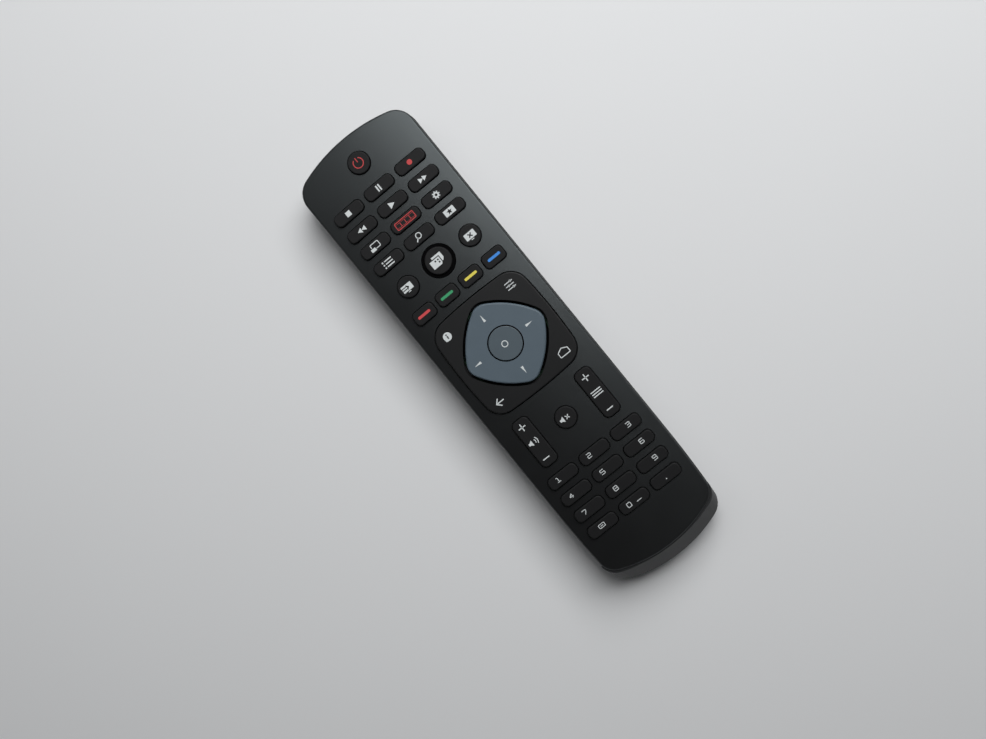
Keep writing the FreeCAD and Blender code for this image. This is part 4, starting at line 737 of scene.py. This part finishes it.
def print_direction_keys():
    """The corners of the plate, the ring's four ticks and the key in its middle."""
    info, options, back, home = (-15.4, 15.7), (15.15, 15.8), (-15.45, -15.8), (14.95, -16.0)
    printed("info_bubble", "corner_plate", bubble(), WHITE_INK, info)
    mark = over([plate(oblong(0.5, 1.2, (0, -0.3)))] + dot(0.3, (0, 0.8)))
    printed("info_mark", "corner_plate", mark, KEY_BLACK, info)
    printed("options_sliders", "corner_plate", sliders(), WHITE_INK, options)
    printed("back_arrow", "corner_plate", back_arrow(), WHITE_INK, back)
    printed("home_outline", "corner_plate", home_outline(), WHITE_INK, home)
    half_foot, foot, tip = 0.5, 10.8, 13.9
    tick = plate([(-half_foot, foot), (half_foot, foot), (0, tip)])
    for i, name in enumerate(("up", "left", "down", "right")):
        printed(name + "_tick", "direction_ring", [moved(tick, turn=90 * i)], WHITE_INK, (-0.7, 0.25))
    printed("confirm_ring", "confirm_key", [band(circle(1.15), FINE_LINE, True)], WHITE_INK, (-0.2, 0))


def print_lower_keys():
    """The rockers, the mute key and the digits."""
    volume = speaker(-1.3) + sound_waves(-0.2, (1.05, 1.95))
    plus, minus = 3.1, 2.9
    printed("volume_up_sign", "volume_rocker", cross(plus, (0, 7.2)), WHITE_INK, (-0.2, 0))
    printed("volume_speaker", "volume_rocker", volume, WHITE_INK, (-0.2, 0.25))
    printed("volume_down_sign", "volume_rocker", dash(minus, (0, -7.4)), WHITE_INK, (-0.3, 0))
    printed("channel_up_sign", "channel_rocker", cross(plus, (0, 7.0)), WHITE_INK, (0.15, 0))
    printed("channel_lines", "channel_rocker", lines(4.4, 0.98), WHITE_INK, (0.05, 0))
    printed("channel_down_sign", "channel_rocker", dash(minus, (0, -7.6)), WHITE_INK, (0.05, 0))
    mute = speaker(-1.5) + cross(2.0, (0.85, 0), 0.36, 45)
    printed("mute_sign", "mute_key", mute, WHITE_INK, (-0.15, -0.1))
    # Where a digit stands on the keys of each column
    left, middle, right = -2.1, -2.15, 1.45
    for number in range(1, 10):
        x = (left, middle, right)[(number - 1) % 3]
        printed(f"digit_{number}", f"digit_{number}_key", digit(number), WHITE_INK, (x, 0.25))
    printed("digit_0", "digit_0_key", digit(0), WHITE_INK, (middle, 0.15))
    printed("dash_sign", "digit_0_key", dash(2.1, width=0.28), WHITE_INK, (2.0, -0.6))
    strip = [band(softened(oblong(2.6, 1.4), 0.3, True), 0.26, True)] + dash(1.3, width=0.26)
    printed("subtitle_strip", "subtitle_key", strip, WHITE_INK, (-0.1, 0.3))
    printed("text_dot", "text_key", dot(0.22), WHITE_INK, (-0.15, -0.8))


print_command_keys()
print_direction_keys()
print_lower_keys()


# Table, light and camera

TABLE_COLOUR = (0.715, 0.725, 0.735)
ROOM_COLOUR = (0.97, 0.985, 1.0)
# Brightness of the pale room behind the table, and of the dim room that lights the remote
BACKGROUND = 0.62
AMBIENT = 0.035


def as_background(tree):
    """One for rays from the camera, off a gloss or through a clear piece; nothing for the rays that
    only carry light."""
    path = tree.nodes.new("ShaderNodeLightPath").outputs
    indirect = calculated(
        tree, "ADD", path["Is Glossy Ray"], path["Is Transmission Ray"], kept_to_one=True)
    return calculated(tree, "ADD", path["Is Camera Ray"], indirect, kept_to_one=True)


def eased(tree, value, start, end, low=0.0, high=1.0):
    """The value's way from start to end, eased at both, as low to high."""
    node = tree.nodes.new("ShaderNodeMapRange")
    node.interpolation_type = "SMOOTHSTEP"
    for name, number in (("From Min", start), ("From Max", end), ("To Min", low), ("To Max", high)):
        node.inputs[name].default_value = number
    tree.links.new(value, node.inputs["Value"])
    return node.outputs["Result"]


def make_table():
    """A wide pale table top just under the remote. Well away from the remote it fades into the
    pale of the room."""
    half = 3.0
    clear_radius, faded_radius = 0.28, 0.62
    corners = np.column_stack([oblong(2 * half, 2 * half), np.zeros(4)])
    mesh = bpy.data.meshes.new("table_top")
    mesh.from_pydata([tuple(corner) for corner in corners], [], [[0, 1, 2, 3]])
    finish = Finish("table_pale", TABLE_COLOUR, roughness=0.85, specular=0.2).mottled(*TABLE_MOTTLE)
    tree = finish.tree
    distance = tree.nodes.new("ShaderNodeVectorMath")
    distance.operation = "LENGTH"
    finish.link(finish.place, distance.inputs[0])
    far = eased(tree, distance.outputs["Value"], clear_radius, faded_radius)
    glow = tree.nodes.new("ShaderNodeEmission")
    glow.inputs["Color"].default_value = (*ROOM_COLOUR, 1)
    glow.inputs["Strength"].default_value = BACKGROUND
    fade = tree.nodes.new("ShaderNodeMixShader")
    finish.link(calculated(tree, "MULTIPLY", far, as_background(tree)), fade.inputs["Fac"])
    finish.link(finish.shader.outputs["BSDF"], fade.inputs[1])
    finish.link(glow.outputs["Emission"], fade.inputs[2])
    finish.link(fade.outputs["Shader"], tree.nodes["Material Output"].inputs["Surface"])
    mesh.materials.append(finish.material)
    table = bpy.data.objects.new("table_top", mesh)
    bpy.context.scene.collection.objects.link(table)


def aim(thing, place, target, up):
    """Puts a lamp or camera at a place, looking at the target, with up pointing up in its view."""
    back = (Vector(place) - Vector(target)).normalized()
    right = Vector(up).cross(back).normalized()
    upward = back.cross(right)
    thing.matrix_world = Matrix.Translation(place) @ Matrix((right, upward, back)).transposed().to_4x4()


def soft_box(name, place, size, power):
    """A square area lamp that faces the remote."""
    lamp = bpy.data.lights.new(name, "AREA")
    lamp.shape = "SQUARE"
    lamp.size = size
    lamp.energy = power
    holder = bpy.data.objects.new(name, lamp)
    bpy.context.scene.collection.objects.link(holder)
    aim(holder, place, (0, 0, 0), (0, 1, 0.01))


def make_world():
    """A dim even room. As a background it is pale up to a third of the way up, and dim overhead."""
    world = bpy.data.worlds.new("studio")
    world.use_nodes = True
    tree = world.node_tree
    background = tree.nodes["Background"]
    background.inputs["Color"].default_value = (*ROOM_COLOUR, 1)
    parts = tree.nodes.new("ShaderNodeSeparateXYZ")
    tree.links.new(tree.nodes.new("ShaderNodeNewGeometry").outputs["Incoming"], parts.inputs["Vector"])
    # Incoming points back along the ray, so its height falls from nothing to minus one overhead
    dim_up_from, pale_down_from = -0.5, -0.2
    low = eased(tree, parts.outputs["Z"], dim_up_from, pale_down_from)
    pale = calculated(tree, "MULTIPLY", low, as_background(tree))
    tree.links.new(eased(tree, pale, 0, 1, AMBIENT, BACKGROUND), background.inputs["Strength"])
    bpy.context.scene.world = world


PHOTO_WIDTH = 986
FOCAL_PIXELS = 1000
SENSOR_WIDTH = 36.0
CAMERA_PLACE = (0.02774, -0.00058, 0.39514)
CAMERA_TARGET = (-0.01213, -0.00120, 0)
# Angle from the remote's length to upright in the picture
PICTURE_LEAN = math.radians(39.29)


def make_camera():
    """The view of the photograph, fitted to its rows of keys."""
    lens = bpy.data.cameras.new("photo_view")
    lens.sensor_width = SENSOR_WIDTH
    lens.lens = SENSOR_WIDTH * FOCAL_PIXELS / PHOTO_WIDTH
    lens.clip_start = 0.01
    camera = bpy.data.objects.new("photo_view", lens)
    bpy.context.scene.collection.objects.link(camera)
    up = (math.sin(PICTURE_LEAN), math.cos(PICTURE_LEAN), 0)
    aim(camera, CAMERA_PLACE, CAMERA_TARGET, up)
    bpy.context.scene.camera = camera


make_table()
make_world()
soft_box("window_light", place=(0.385, 0.33, 0.68), size=0.62, power=7.8)
# A weak second light past the top end, which lifts the left of the face there
soft_box("ceiling_light", place=(-0.12, 0.48, 0.70), size=0.5, power=0.72)
make_camera()
bpy.context.scene.view_settings.view_transform = "Standard"
